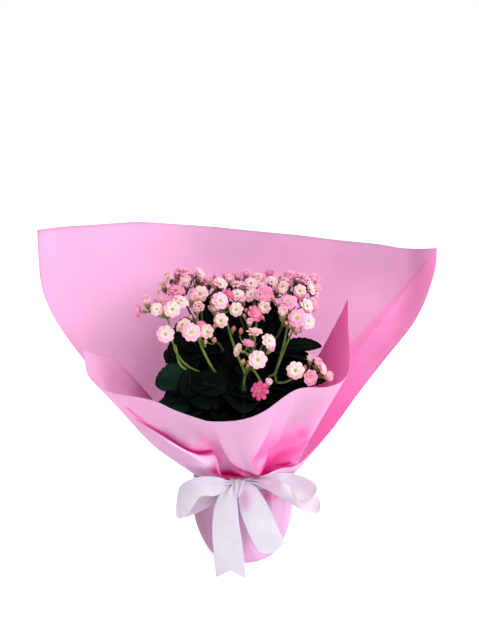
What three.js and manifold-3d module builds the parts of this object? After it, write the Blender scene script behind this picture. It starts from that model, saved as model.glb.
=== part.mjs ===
// A potted kalanchoe as a florist gives it: a nursery pot of soil with six leafy shoots and their sprays of
// double flowers, stood in two sheets of wrapping paper that a ribbon ties round the pot's rim in a bow.
// Millimetres, +Z up, +X to the right and -Y towards the front, where the bow is. The origin is the middle
// of the flat base that the wrapped pot stands on.
import * as THREE from 'three';
import { mergeVertices } from 'three/addons/utils/BufferGeometryUtils.js';
import Module from 'manifold-3d';

const wasm = await Module();
wasm.setup();

const vec = (x, y, z) => new THREE.Vector3(x, y, z);
const radians = THREE.MathUtils.degToRad;
const UP = vec(0, 0, 1);
const GOLDEN_ANGLE = Math.PI * (3 - Math.sqrt(5));

// The pot and its soil. Pieces that touch keep a small gap between their faces.
const PAPER = 0.6;
const GAP = 0.3;
const POT = { rim: 52.5, base: 35, height: 92, wall: 1.4, lip: 2.2, lipDepth: 12, sides: 28 };
const POT_FLOOR = PAPER + GAP;
const DRAIN = { radius: 3, ring: 22, count: 6, sides: 6 };
const SOIL = { top: 82, dome: 4, shoulder: 0.6, gap: 0.5, sides: 20 };

// The ribbon's band goes round the paper at the neck, higher in front than behind, and the paper flares out
// above it
const NECK = { z: 108, dip: 34, back: 55.6, front: 54.4 };
const RIBBON = { width: 30, thick: 0.8, band: 17, bandRadius: 56.4, below: 1, sides: 32, notch: 7.5 };
const KNOT = { size: [9, 7, 9.5], at: [-2, -63.5, 103] };

// The ribbon's loops and tails, each from the knot outwards: points of the middle line, the way the
// ribbon's width lies there, and the share of its full width that it has there
const LOOPS = [
  [
    [-3, -65, 107, 0, 0, 1, 0.35], [-22, -77, 109, 0, -0.4, 0.9, 0.75], [-46, -84, 104, 0, -0.3, 0.95, 1],
    [-66, -81, 95, 0.1, -0.1, 1, 1], [-73, -72, 90, 0.15, 0, 1, 1], [-64, -64, 88, 0.1, 0, 1, 1],
    [-38, -64, 93, 0, -0.1, 1, 0.8], [-5, -64, 101, 0, 0, 1, 0.35],
  ],
  [
    [1, -65, 107, 0, 0, 1, 0.35], [22, -75, 111, 0, -0.4, 0.9, 0.75], [48, -80, 107, -0.1, -0.35, 0.95, 1],
    [70, -74, 97, -0.2, -0.2, 1, 1], [76, -63, 91, -0.2, 0, 1, 1], [66, -55, 92, -0.1, 0, 1, 1],
    [38, -62, 97, 0, -0.1, 1, 0.8], [3, -64, 101, 0, 0, 1, 0.35],
  ],
];
const TAILS = [
  [
    [-3, -67, 102, 1, 0, 0, 0.35], [-13, -74, 88, 1, 0, 0, 0.85], [-17, -77, 62, 1, 0, 0, 1],
    [-15, -75, 30, 1, 0, 0, 1], [-13, -72, 1, 1, 0, 0, 1],
  ],
  [
    [2, -67, 101, 1, 0, 0.2, 0.35], [10, -75, 84, 1, 0, 0.3, 0.8], [20, -75, 58, 1, 0, 0.4, 1],
    [31, -71, 32, 0.95, 0, 0.45, 1],
  ],
];

// The bag of paper round the pot, as [radius, height] from the edge of the base up to the neck
const BAG = [[36, PAPER / 2], [41.5, 6], [51.5, 32], [55.6, 62]];

// The back sheet's edge, as [bearing at the neck, x, y, z]. Bearings are in degrees from the front, growing
// to the right. The first run goes from the top left corner down the left side, across the front under the
// bow, and up the right side to the top right corner. The second goes back along the top.
const BACK_SIDES = [
  [230, -237, 60, 364], [237, -231, 40, 311], [244, -220, 24, 284], [253, -203, 8, 260],
  [263, -173, -20, 231], [288, -124, -60, 187], [312, -71, -81, 156], [324, -46, -83, 146],
  [333, -32, -78, 140], [339, -26, -68, 120], [349, -13, -62, 116], [360, 0, -61, 115],
  [371, 13, -62, 116], [384, 24, -65, 119], [398, 37, -62, 125], [412, 51, -52, 122],
  [427, 66, -32, 121], [451, 120, -9, 182], [474, 182, 20, 248], [482, 202, 36, 282], [490, 223, 60, 343],
];
const BACK_TOP = [[130, 223, 60, 343], [147, 152, 108, 351], [166, 62, 130, 357], [186, -24, 137, 366],
  [207, -118, 121, 371], [220, -185, 92, 370], [230, -237, 60, 364]];

// The front sheet's top edge, from its left corner round the front to its right corner
const FRONT_EDGE = [
  [-108, -168, -40, 247], [-98, -149, -61, 216], [-88, -127, -74, 203], [-74, -103, -83, 207],
  [-58, -69, -92, 198], [-42, -47, -96, 191], [4, -32, -98, 188], [12, -4, -99, 190], [17, 20, -96, 198],
  [24, 53, -87, 218], [42, 86, -74, 217], [58, 106, -57, 222], [72, 113, -38, 238], [86, 113, -16, 267],
  [98, 113, 2, 292],
];
const FRONT_HEM = { z: 58, radius: 53.4 };

// Folds of the front sheet between the neck and its top edge, each along a ruling of the sheet: how far
// across the sheet it lies, how far it pushes the paper out, and how wide it is
const FRONT_FOLDS = [
  { at: 0.525, out: 15, width: 0.075 },
  { at: 0.685, out: -11, width: 0.05 },
  { at: 0.36, out: -5, width: 0.05 },
];

// The six leafy shoots stand in a ring in the soil, at these bearings from the right. The three at the back
// are the taller ones.
const SHOOT = { ring: 27, sink: 14, base: 3.6, tip: 2.6, sides: 6, low: 204, high: 234 };
const SHOOTS = [
  { bearing: 30, place: 'side', top: SHOOT.high },
  { bearing: 90, place: 'back', top: SHOOT.high },
  { bearing: 150, place: 'side', top: SHOOT.high },
  { bearing: 210, place: 'side', top: SHOOT.low },
  { bearing: 270, place: 'front', top: SHOOT.low },
  { bearing: 330, place: 'side', top: SHOOT.low },
];

// Leaves from the lowest up: the turn from the shoot's own bearing, height, rise in degrees, how far the
// tip droops for each unit of length, length and width. Every other shoot carries its pairs higher, so that
// they pass over the leaves of its neighbours.
const LEAF = { thick: 1.5, steps: 6, scallop: 0.13, fold: 0.13 };
const PAIR_STAGGER = 20;
const PAIRS = [
  { turn: 50, z: 146, rise: 24, droop: 0.3, length: 42, width: 32 },
  { turn: -50, z: 146, rise: 24, droop: 0.3, length: 42, width: 32 },
];
const OUTER_LEAVES = {
  front: { turn: 0, z: 192, rise: 26, droop: 0.5, length: 50, width: 46 },
  side: { turn: 0, z: 197, rise: 32, droop: 0.8, length: 52, width: 44 },
  back: { turn: 0, z: 194, rise: 34, droop: 0.2, length: 52, width: 42 },
};
const INNER_LEAVES = [
  { turn: 180, z: 199, rise: 40, droop: 0.5, length: 22, width: 19 },
  { turn: 180, z: 176, rise: 40, droop: 0.5, length: 22, width: 19 },
];
const CROWN_LEAVES = [
  { turn: 56, z: 228, rise: 34, droop: 0.8, length: 42, width: 38 },
  { turn: -50, z: 227, rise: 36, droop: 0.8, length: 44, width: 40 },
];
const MIDDLE_LEAF = { turn: 180, z: 214, rise: 36, droop: 0.8, length: 38, width: 34 };

// The sprays: the shoot that each stands on, its fork, and its heads of flowers. Each head has its middle,
// the way it leans, and how many open flowers and buds it has.
const SPRAYS = [
  { shoot: 0, fork: [44, 20, 262], heads: [
    { at: [60, 20, 309], lean: [0.3, -0.3, 0.9], flowers: 6, buds: 1 },
    { at: [54, 56, 298], lean: [0.2, 0.5, 0.85], flowers: 4, buds: 1 }] },
  { shoot: 1, fork: [4, 36, 262], heads: [
    { at: [16, 30, 313], lean: [0.1, -0.3, 0.9], flowers: 5, buds: 1 },
    { at: [-7, 4, 295], lean: [-0.1, -0.55, 0.8], flowers: 3, buds: 1 },
    { at: [8, 66, 300], lean: [0.0, 0.5, 0.85], flowers: 4, buds: 1 }] },
  { shoot: 2, fork: [-44, 18, 262], heads: [
    { at: [-74, 20, 308], lean: [-0.35, -0.3, 0.9], flowers: 6, buds: 0 },
    { at: [-45, 10, 307], lean: [0.1, -0.4, 0.9], flowers: 4, buds: 0 },
    { at: [-46, 58, 297], lean: [-0.2, 0.5, 0.85], flowers: 4, buds: 1 }] },
  { shoot: 3, fork: [-54, -22, 238], heads: [
    { at: [-89, -20, 287], lean: [-0.5, -0.4, 0.8], flowers: 5, buds: 1 },
    { at: [-79, -45, 260], lean: [-0.45, -0.6, 0.6], flowers: 1, buds: 0 },
    { at: [-48, -44, 270], lean: [0.0, -0.6, 0.8], flowers: 5, buds: 2 }] },
  { shoot: 4, fork: [4, -34, 232], heads: [
    { at: [-24, -24, 293], lean: [-0.2, -0.6, 0.8], flowers: 3, buds: 1 },
    { at: [16, -14, 294], lean: [0.1, -0.6, 0.8], flowers: 4, buds: 0 },
    { at: [11, -56, 250], lean: [0.0, -0.7, 0.65], flowers: 5, buds: 2 },
    { at: [15, -82, 209], lean: [0.1, -0.95, 0.3], flowers: 1, buds: 1 }] },
  { shoot: 5, fork: [42, -26, 232], heads: [
    { at: [52, -12, 293], lean: [0.1, -0.6, 0.8], flowers: 4, buds: 1 },
    { at: [59, -34, 275], lean: [0.4, -0.7, 0.6], flowers: 2, buds: 2 },
    { at: [66, -52, 228], lean: [0.4, -0.75, 0.5], flowers: 3, buds: 2 }] },
];
const FLOWER = { petals: 6, radius: [7.4, 9.4], notch: 0.84, cup: 0.18, thick: 0.7, calyx: 6 };
const INNER_PETALS = { share: 0.6, rise: 2.2 };
const STALK = { radius: 0.8, reach: [15, 21], spread: 70, hub: 2.8 };
const BUD = { radius: [2, 2.8], length: 1.9, sides: 6 };
const PEDUNCLE = { base: 2.2, fork: 1.8, hub: 1.3, sides: 6 };
const SETTLING = { rounds: 60, sameSpray: 0.98, otherSpray: 1.12 };
const SEED = 20477;

// A small seeded draw of numbers from 0 to 1
function draws(seed) {
  let state = seed >>> 0;
  return () => {
    state = (state + 0x6D2B79F5) >>> 0;
    let mixed = Math.imul(state ^ (state >>> 15), 1 | state);
    mixed = (mixed + Math.imul(mixed ^ (mixed >>> 7), 61 | mixed)) ^ mixed;
    return ((mixed ^ (mixed >>> 14)) >>> 0) / 4294967296;
  };
}

// Closed solids, as manifolds for joining and cutting
function solidOf(geometry) {
  const bare = geometry.clone();
  bare.deleteAttribute('normal');
  bare.deleteAttribute('uv');
  const merged = mergeVertices(bare, 1e-4);
  const index = merged.index.array;
  const kept = [];
  for (let i = 0; i < index.length; i += 3) {
    const [a, b, c] = [index[i], index[i + 1], index[i + 2]];
    if (a !== b && b !== c && a !== c) kept.push(a, b, c);
  }
  const vertProperties = new Float32Array(merged.attributes.position.array);
  return new wasm.Manifold(new wasm.Mesh({ numProp: 3, vertProperties, triVerts: new Uint32Array(kept) }));
}

function geometryOf(solid) {
  const { vertProperties, triVerts } = solid.getMesh();
  const geometry = new THREE.BufferGeometry();
  geometry.setAttribute('position', new THREE.BufferAttribute(new Float32Array(vertProperties), 3));
  geometry.setIndex(new THREE.BufferAttribute(new Uint32Array(triVerts), 1));
  geometry.computeVertexNormals();
  return geometry;
}

function geometryFrom(points, faces) {
  const geometry = new THREE.BufferGeometry();
  const numbers = points.flatMap((p) => p.toArray());
  geometry.setAttribute('position', new THREE.Float32BufferAttribute(numbers, 3));
  geometry.setIndex(faces.flat());
  return geometry;
}

// A thin solid on both sides of a grid of points. Both faces are split into triangles alike. A closed grid
// joins its last column to its first; flatRows at the start keep a straight downward normal.
function sheetSolid(grid, thick, { closed = false, flatRows = 0 } = {}) {
  const columns = grid.length;
  const rows = grid[0].length;
  const at = (i, j) => grid[closed ? (i + columns) % columns : THREE.MathUtils.clamp(i, 0, columns - 1)][
    THREE.MathUtils.clamp(j, 0, rows - 1)];
  const outer = [];
  const inner = [];
  for (let i = 0; i < columns; i++) {
    for (let j = 0; j < rows; j++) {
      const across = at(i + 1, j).clone().sub(at(i - 1, j));
      const along = at(i, j + 1).clone().sub(at(i, j - 1));
      const normal = j < flatRows ? vec(0, 0, -1) : across.cross(along).normalize();
      outer.push(at(i, j).clone().addScaledVector(normal, thick / 2));
      inner.push(at(i, j).clone().addScaledVector(normal, -thick / 2));
    }
  }
  const faces = [];
  const shift = outer.length;
  const id = (i, j) => (i % columns) * rows + j;
  const wall = (a, b) => faces.push([a, a + shift, b + shift], [a, b + shift, b]);
  const spans = closed ? columns : columns - 1;
  for (let i = 0; i < spans; i++) {
    for (let j = 0; j < rows - 1; j++) {
      const [a, b, c, d] = [id(i, j), id(i + 1, j), id(i + 1, j + 1), id(i, j + 1)];
      faces.push([a, b, c], [a, c, d]);
      faces.push([a + shift, c + shift, b + shift], [a + shift, d + shift, c + shift]);
    }
    if (!closed) wall(id(i, 0), id(i + 1, 0));
    wall(id(i + 1, rows - 1), id(i, rows - 1));
  }
  if (!closed) {
    for (let j = 0; j < rows - 1; j++) {
      wall(id(0, j + 1), id(0, j));
      wall(id(columns - 1, j), id(columns - 1, j + 1));
    }
  }
  return solidOf(geometryFrom([...outer, ...inner], faces));
}

// A solid through rings of points, closed by a single point at each end
function ringedSolid(first, rings, last) {
  const count = rings[0].length;
  const points = [first, ...rings.flat(), last];
  const end = points.length - 1;
  const id = (ring, k) => 1 + ring * count + (k % count);
  const faces = [];
  for (let k = 0; k < count; k++) {
    faces.push([0, id(0, k + 1), id(0, k)]);
    faces.push([end, id(rings.length - 1, k), id(rings.length - 1, k + 1)]);
    for (let ring = 0; ring + 1 < rings.length; ring++) {
      const [a, b, c, d] = [id(ring, k), id(ring, k + 1), id(ring + 1, k + 1), id(ring + 1, k)];
      faces.push([a, b, c], [a, c, d]);
    }
  }
  return solidOf(geometryFrom(points, faces));
}

// A stalk along a curve, tapering from one radius to the other
function stalk(curve, from, to, sides, steps) {
  const frames = curve.computeFrenetFrames(steps, false);
  const rings = [];
  for (let i = 0; i <= steps; i++) {
    const middle = curve.getPointAt(i / steps);
    const radius = THREE.MathUtils.lerp(from, to, i / steps);
    rings.push(Array.from({ length: sides }, (_, k) => {
      const turn = (2 * Math.PI * k) / sides;
      return middle.clone().addScaledVector(frames.normals[i], radius * Math.cos(turn))
        .addScaledVector(frames.binormals[i], radius * Math.sin(turn));
    }));
  }
  return ringedSolid(curve.getPointAt(0), rings, curve.getPointAt(1));
}

// Places a solid modelled up the Z axis so that its axis points along a direction from a point
function placed(solid, point, direction, turn = 0) {
  const swing = new THREE.Quaternion().setFromUnitVectors(UP, direction.clone().normalize());
  const matrix = new THREE.Matrix4().compose(point, swing, vec(1, 1, 1))
    .multiply(new THREE.Matrix4().makeRotationZ(turn));
  return solid.transform(matrix.elements);
}

function cubic(before, from, to, after, t) {
  const bend = 2 * before - 5 * from + 4 * to - after;
  const twist = 3 * (from - to) + after - before;
  return from + 0.5 * t * (to - before + t * (bend + t * twist));
}

// Smooth rows of numbers through the given ones, with a few steps between each two
function smoothed(knots, steps) {
  const made = [];
  const last = knots.length - 1;
  for (let i = 0; i < last; i++) {
    const [p, q, r, s] = [knots[Math.max(i - 1, 0)], knots[i], knots[i + 1], knots[Math.min(i + 2, last)]];
    for (let k = 0; k < steps; k++) made.push(q.map((_, n) => cubic(p[n], q[n], r[n], s[n], k / steps)));
  }
  made.push(knots[last]);
  return made;
}

// The point at a bearing from the front, out from the middle of the pot
const around = (bearing, radius, z) =>
  vec(radius * Math.sin(radians(bearing)), -radius * Math.cos(radians(bearing)), z);
const atNeck = (bearing, radius) =>
  around(bearing, radius, NECK.z - (NECK.dip * (1 - Math.cos(radians(bearing)))) / 2);

// One ruling of a sheet from the neck to its top edge. It leaves the neck a little steeper than it ends.
function ruling(neck, edge, share) {
  const reach = edge.clone().sub(neck);
  const rise = reach.clone().normalize().lerp(UP, 0.25).multiplyScalar(reach.length());
  const s = share;
  return neck.clone().multiplyScalar(2 * s ** 3 - 3 * s ** 2 + 1)
    .addScaledVector(rise, s ** 3 - 2 * s ** 2 + s)
    .addScaledVector(edge, 3 * s ** 2 - 2 * s ** 3).addScaledVector(reach, s ** 3 - s ** 2);
}

function backSheet() {
  const edge = [...smoothed(BACK_SIDES, 2).slice(0, -1), ...smoothed(BACK_TOP, 2).slice(0, -1)];
  const flare = [0.2, 0.45, 0.72, 1];
  const grid = edge.map(([bearing, x, y, z]) => [
    vec(0, 0, PAPER / 2),
    ...BAG.map(([radius, height]) => around(bearing, radius, height)),
    atNeck(bearing, NECK.back),
    ...flare.map((share) => ruling(atNeck(bearing, NECK.back), vec(x, y, z), share)),
  ]);
  return sheetSolid(grid, PAPER, { closed: true, flatRows: 2 });
}

function frontSheet() {
  const edge = smoothed(FRONT_EDGE, 2);
  const flare = [0.15, 0.35, 0.55, 0.78, 1];
  const grid = edge.map(([bearing, x, y, z], i) => {
    const across = i / (edge.length - 1);
    const neck = atNeck(bearing, NECK.front);
    return [
      around(bearing, FRONT_HEM.radius, FRONT_HEM.z),
      neck,
      ...flare.map((share) => {
        const point = ruling(neck, vec(x, y, z), share);
        const outward = vec(point.x, point.y, 0).normalize();
        const push = FRONT_FOLDS.reduce((sum, fold) =>
          sum + fold.out * Math.exp(-(((across - fold.at) / fold.width) ** 2)), 0);
        return point.addScaledVector(outward, push * Math.sin(Math.PI * share) ** 1.2);
      }),
    ];
  });
  return sheetSolid(grid, PAPER);
}

function pot() {
  const { rim, base, height, wall, lip, lipDepth, sides } = POT;
  const floor = POT_FLOOR;
  const top = floor + height;
  const body = rim - lip;
  const profile = [[0, floor], [base, floor], [body, top - lipDepth], [rim, top - lipDepth], [rim, top],
    [rim - lip - wall, top], [base - wall, floor + wall], [0, floor + wall]];
  const shell = new THREE.LatheGeometry(profile.map(([r, z]) => new THREE.Vector2(r, z)), sides);
  let made = solidOf(shell.rotateX(Math.PI / 2));
  for (let i = 0; i < DRAIN.count; i++) {
    const turn = (2 * Math.PI * i) / DRAIN.count;
    const drill = new THREE.CylinderGeometry(DRAIN.radius, DRAIN.radius, 4 * wall, DRAIN.sides);
    drill.rotateX(Math.PI / 2).translate(DRAIN.ring * Math.cos(turn), DRAIN.ring * Math.sin(turn), floor);
    made = made.subtract(solidOf(drill));
  }
  return made;
}

function shootFoot({ bearing }) {
  const turn = radians(bearing);
  return vec(SHOOT.ring * Math.cos(turn), SHOOT.ring * Math.sin(turn), SOIL.top - SHOOT.sink);
}

function soil() {
  const inner = (z) => {
    const share = (z - POT_FLOOR - POT.wall) / (POT.height - POT.wall);
    return THREE.MathUtils.lerp(POT.base - POT.wall, POT.rim - POT.lip - POT.wall, share) - SOIL.gap;
  };
  const foot = POT_FLOOR + POT.wall + SOIL.gap;
  const profile = [[0, foot], [inner(foot), foot], [inner(SOIL.top), SOIL.top],
    [inner(SOIL.top) * SOIL.shoulder, SOIL.top + SOIL.dome * 0.8], [0, SOIL.top + SOIL.dome]];
  const heap = new THREE.LatheGeometry(profile.map(([r, z]) => new THREE.Vector2(r, z)), SOIL.sides);
  let made = solidOf(heap.rotateX(Math.PI / 2));
  const width = SHOOT.base + 2 * GAP;
  for (const each of SHOOTS) {
    const { x, y } = shootFoot(each);
    const hole = new THREE.CylinderGeometry(width, width, 2 * SHOOT.sink, SHOOT.sides + 2);
    hole.rotateX(Math.PI / 2).translate(x, y, SOIL.top - GAP);
    made = made.subtract(solidOf(hole));
  }
  return made;
}

// A fleshy leaf with a scalloped edge, folded a little up from its midrib and drooping towards its tip
function leaf(length, width, droop) {
  const grid = [-1, 0, 1].map((side) => Array.from({ length: LEAF.steps + 1 }, (_, j) => {
    const s = j / LEAF.steps;
    const outline = Math.sin(Math.PI * (0.012 + 0.988 * s) ** 0.75) ** 0.8;
    const scallop = 1 - LEAF.scallop * (j % 2);
    const half = (width / 2) * Math.max(outline * scallop, 0.09);
    const sag = droop * length * s * s;
    return vec(side * half, s * length, Math.abs(side) * half * LEAF.fold * 2 - sag);
  }));
  return sheetSolid(grid, LEAF.thick);
}

function shootLeaves(order) {
  const { place } = SHOOTS[order];
  const odd = order % 2;
  const leaves = PAIRS.map((each) => ({ ...each, z: each.z + PAIR_STAGGER * odd }));
  leaves.push(OUTER_LEAVES[place], INNER_LEAVES[odd]);
  if (place === 'back') leaves.push(MIDDLE_LEAF);
  if (order === 0 || order === 2) leaves.push(...CROWN_LEAVES);
  return leaves;
}

function leafyShoot(order) {
  const { bearing, top } = SHOOTS[order];
  const foot = shootFoot(SHOOTS[order]);
  const axis = new THREE.LineCurve3(foot, foot.clone().setZ(top));
  let made = stalk(axis, SHOOT.base, SHOOT.tip, SHOOT.sides, 1);
  for (const { turn, z, rise, droop, length, width } of shootLeaves(order)) {
    const matrix = new THREE.Matrix4().makeTranslation(foot.x, foot.y, z)
      .multiply(new THREE.Matrix4().makeRotationZ(radians(bearing + turn - 90)))
      .multiply(new THREE.Matrix4().makeRotationX(radians(rise)));
    made = made.add(leaf(length, width, droop).transform(matrix.elements));
  }
  return made;
}

// The open flowers and buds of every head, set round a dome and then settled so that they don't crowd
function flowerPlaces() {
  const all = [];
  const [nearest, furthest] = STALK.reach;
  SPRAYS.forEach((spray, sprayOrder) => spray.heads.forEach((head, headOrder) => {
    const draw = draws(SEED + 101 * sprayOrder + 13 * headOrder);
    const lean = vec(...head.lean).normalize();
    const hub = vec(...head.at).addScaledVector(lean, -nearest);
    const swing = new THREE.Quaternion().setFromUnitVectors(UP, lean);
    const start = 2 * Math.PI * draw();
    const total = head.flowers + head.buds;
    for (let i = 0; i < total; i++) {
      const open = i < head.flowers;
      const spread = radians(STALK.spread) * Math.sqrt(i / Math.max(total - 1, 1)) * (0.9 + 0.2 * draw());
      const bearing = start + i * GOLDEN_ANGLE + 0.4 * (draw() - 0.5);
      const away = vec(Math.sin(spread) * Math.cos(bearing), Math.sin(spread) * Math.sin(bearing),
        Math.cos(spread)).applyQuaternion(swing);
      const [low, high] = open ? FLOWER.radius : BUD.radius;
      const radius = THREE.MathUtils.lerp(low, high, draw());
      const at = hub.clone().addScaledVector(away, THREE.MathUtils.lerp(nearest, furthest, draw()));
      all.push({ spray: sprayOrder, head: headOrder, open, radius, hub, at, turn: draw() });
    }
  }));
  for (let round = 0; round < SETTLING.rounds; round++) settle(all);
  return all;
}

// Moves each two that are too close half the missing distance apart
function settle(all) {
  for (let i = 0; i < all.length; i++) {
    for (let j = i + 1; j < all.length; j++) {
      const apart = all[j].at.clone().sub(all[i].at);
      const share = all[i].spray === all[j].spray ? SETTLING.sameSpray : SETTLING.otherSpray;
      const missing = share * (all[i].radius + all[j].radius) - apart.length();
      if (missing <= 0) continue;
      apart.normalize().multiplyScalar(missing / 2);
      all[j].at.add(apart);
      all[i].at.sub(apart);
    }
  }
}

// A three-sided stalk up the Z axis that ends in a closed head. Its rings have a multiple of three corners.
function stalked(length, rings, tip) {
  const count = rings[0].length;
  const corners = (z) => [0, 1, 2].map((k) => {
    const turn = (2 * Math.PI * (k + 0.5)) / 3;
    return vec(STALK.radius * Math.cos(turn), STALK.radius * Math.sin(turn), z);
  });
  const points = [...corners(-length), ...corners(-FLOWER.calyx), ...rings.flat(), tip];
  const end = points.length - 1;
  const id = (ring, k) => 6 + ring * count + (k % count);
  const faces = [[2, 1, 0]];
  for (let side = 0; side < 3; side++) {
    const next = (side + 1) % 3;
    faces.push([side, next, next + 3], [side, next + 3, side + 3]);
    for (let k = 0; k < count / 3; k++) {
      const at = (side * count) / 3 + k;
      faces.push([side + 3, id(0, at + 1), id(0, at)]);
    }
    faces.push([side + 3, next + 3, id(0, ((side + 1) * count) / 3)]);
  }
  for (let k = 0; k < count; k++) {
    faces.push([end, id(rings.length - 1, k), id(rings.length - 1, k + 1)]);
    for (let ring = 0; ring + 1 < rings.length; ring++) {
      const [a, b, c, d] = [id(ring, k), id(ring, k + 1), id(ring + 1, k + 1), id(ring + 1, k)];
      faces.push([a, b, c], [a, c, d]);
    }
  }
  return solidOf(geometryFrom(points, faces));
}

// An open double flower: a cupped ring of petals, a smaller raised ring turned half a petal against it and
// a hollow middle
function flower(radius, stalkLength) {
  const count = 2 * FLOWER.petals;
  const ring = (share, z, lobe) => Array.from({ length: count }, (_, k) => {
    const turn = (2 * Math.PI * k) / count;
    const r = radius * share * (k % 2 === lobe ? 1 : FLOWER.notch);
    return vec(r * Math.cos(turn), r * Math.sin(turn), z + (FLOWER.cup * r * r) / radius);
  });
  const { share, rise } = INNER_PETALS;
  const rings = [ring(1, 0, 0), ring(1, FLOWER.thick, 0), ring(share, rise, 1)];
  return stalked(stalkLength, rings, vec(0, 0, rise / 2));
}

function bud(radius, stalkLength) {
  const widest = Array.from({ length: BUD.sides }, (_, k) => {
    const turn = (2 * Math.PI * k) / BUD.sides;
    return vec(radius * Math.cos(turn), radius * Math.sin(turn), -radius);
  });
  return stalked(stalkLength, [widest], vec(0, 0, BUD.length * radius));
}

function flowerSpray(order, places) {
  const { shoot, fork, heads } = SPRAYS[order];
  const foot = shootFoot(SHOOTS[shoot]).setZ(SHOOTS[shoot].top + GAP);
  const split = vec(...fork);
  const rise = new THREE.QuadraticBezierCurve3(foot, vec(foot.x, foot.y, (foot.z + split.z) / 2), split);
  let made = stalk(rise, PEDUNCLE.base, PEDUNCLE.fork, PEDUNCLE.sides, 2);
  heads.forEach((head, headOrder) => {
    const mine = places.filter((place) => place.spray === order && place.head === headOrder);
    const { hub } = mine[0];
    const bend = vec(hub.x, hub.y, THREE.MathUtils.lerp(split.z, hub.z, 0.35));
    const branch = new THREE.QuadraticBezierCurve3(split.clone().addScaledVector(UP, -1), bend, hub);
    made = made.add(stalk(branch, PEDUNCLE.fork, PEDUNCLE.hub, PEDUNCLE.sides - 1, 2));
    made = made.add(solidOf(new THREE.IcosahedronGeometry(STALK.hub, 0).translate(hub.x, hub.y, hub.z)));
    for (const { open, radius, at, turn } of mine) {
      const away = at.clone().sub(hub);
      const length = away.length() - 0.6 * STALK.hub;
      made = made.add(placed(open ? flower(radius, length) : bud(radius, length), at, away, turn));
    }
  });
  return made;
}

// A length of ribbon along one of the routes above; notch cuts a swallowtail into its end
function strip(points, thick, notch = 0) {
  const rows = smoothed(points, 2);
  const grid = [-1, 0, 1].map((side) => rows.map(([x, y, z, wx, wy, wz, share], j) => {
    const middle = vec(x, y, z);
    const half = (side * share * RIBBON.width) / 2;
    const back = j === rows.length - 1 && side === 0 ? notch : 0;
    const before = rows[Math.max(j - 1, 0)];
    const along = middle.clone().sub(vec(before[0], before[1], before[2]));
    if (along.length()) along.normalize();
    return middle.addScaledVector(vec(wx, wy, wz).normalize(), half).addScaledVector(along, -back);
  }));
  return sheetSolid(grid, thick);
}

function ribbon() {
  const { thick, band, bandRadius, below, sides, notch } = RIBBON;
  const top = NECK.z - NECK.dip / 2 - below;
  const ring = [[bandRadius, top - band], [bandRadius + thick, top - band], [bandRadius + thick, top],
    [bandRadius, top], [bandRadius, top - band]];
  const hoop = new THREE.LatheGeometry(ring.map(([r, z]) => new THREE.Vector2(r, z)), sides);
  const slope = new THREE.Matrix4().makeShear(0, 0, 0, -NECK.dip / 2 / NECK.back, 0, 0);
  let made = solidOf(hoop.rotateX(Math.PI / 2).applyMatrix4(slope));
  made = made.add(solidOf(new THREE.SphereGeometry(1, 10, 6).scale(...KNOT.size).translate(...KNOT.at)));
  for (const run of LOOPS) made = made.add(strip(run, thick));
  for (const run of TAILS) made = made.add(strip(run, thick, notch));
  return made;
}

const MATERIALS = {
  paper: new THREE.MeshStandardMaterial({ color: 0xf0a6d6, roughness: 0.6, side: THREE.DoubleSide }),
  ribbon: new THREE.MeshStandardMaterial({ color: 0xefe9f3, roughness: 0.35 }),
  pot: new THREE.MeshStandardMaterial({ color: 0x8a4b34, roughness: 0.55 }),
  soil: new THREE.MeshStandardMaterial({ color: 0x2e221a, roughness: 0.95 }),
  leaf: new THREE.MeshStandardMaterial({ color: 0x1c3a20, roughness: 0.4 }),
  petal: new THREE.MeshStandardMaterial({ color: 0xf3c4d3, roughness: 0.55 }),
};

const plant = new THREE.Group();
function addPiece(name, solid, material) {
  const piece = new THREE.Mesh(geometryOf(solid), material);
  piece.name = name;
  plant.add(piece);
}

addPiece('wrap_back_sheet', backSheet(), MATERIALS.paper);
addPiece('wrap_front_sheet', frontSheet(), MATERIALS.paper);
addPiece('ribbon_bow', ribbon(), MATERIALS.ribbon);
addPiece('nursery_pot', pot(), MATERIALS.pot);
addPiece('soil', soil(), MATERIALS.soil);
SHOOTS.forEach((_, order) => addPiece(`leafy_shoot_${order + 1}`, leafyShoot(order), MATERIALS.leaf));
const places = flowerPlaces();
SPRAYS.forEach((_, order) =>
  addPiece(`flower_spray_${order + 1}`, flowerSpray(order, places), MATERIALS.petal));

export default plant;
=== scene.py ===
# A potted kalanchoe in gift wrap: two sheets of pink paper round the pot, a satin bow, fleshy scalloped
# leaves and sprays of small double flowers. Lengths in the tables are millimetres, in the frame of the packed
# model: +Z up, +X to the right and -Y towards the front.
import math

import bmesh
import bpy
import numpy as np
from mathutils import Matrix, Vector


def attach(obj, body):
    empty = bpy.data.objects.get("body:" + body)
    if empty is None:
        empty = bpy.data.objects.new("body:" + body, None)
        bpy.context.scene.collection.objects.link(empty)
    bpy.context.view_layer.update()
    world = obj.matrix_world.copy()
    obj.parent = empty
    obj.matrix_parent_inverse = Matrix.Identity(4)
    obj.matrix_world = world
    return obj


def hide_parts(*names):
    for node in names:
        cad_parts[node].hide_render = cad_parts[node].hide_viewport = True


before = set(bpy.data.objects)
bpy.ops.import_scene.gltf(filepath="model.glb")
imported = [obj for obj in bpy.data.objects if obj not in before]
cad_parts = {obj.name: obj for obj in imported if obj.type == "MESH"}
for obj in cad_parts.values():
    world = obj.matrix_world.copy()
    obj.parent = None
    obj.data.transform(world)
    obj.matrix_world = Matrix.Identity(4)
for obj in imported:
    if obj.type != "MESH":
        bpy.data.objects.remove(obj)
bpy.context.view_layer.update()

MM = 0.001
BODY = "root"
TURN = 2 * math.pi
GOLDEN_ANGLE = math.pi * (3 - math.sqrt(5))

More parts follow.
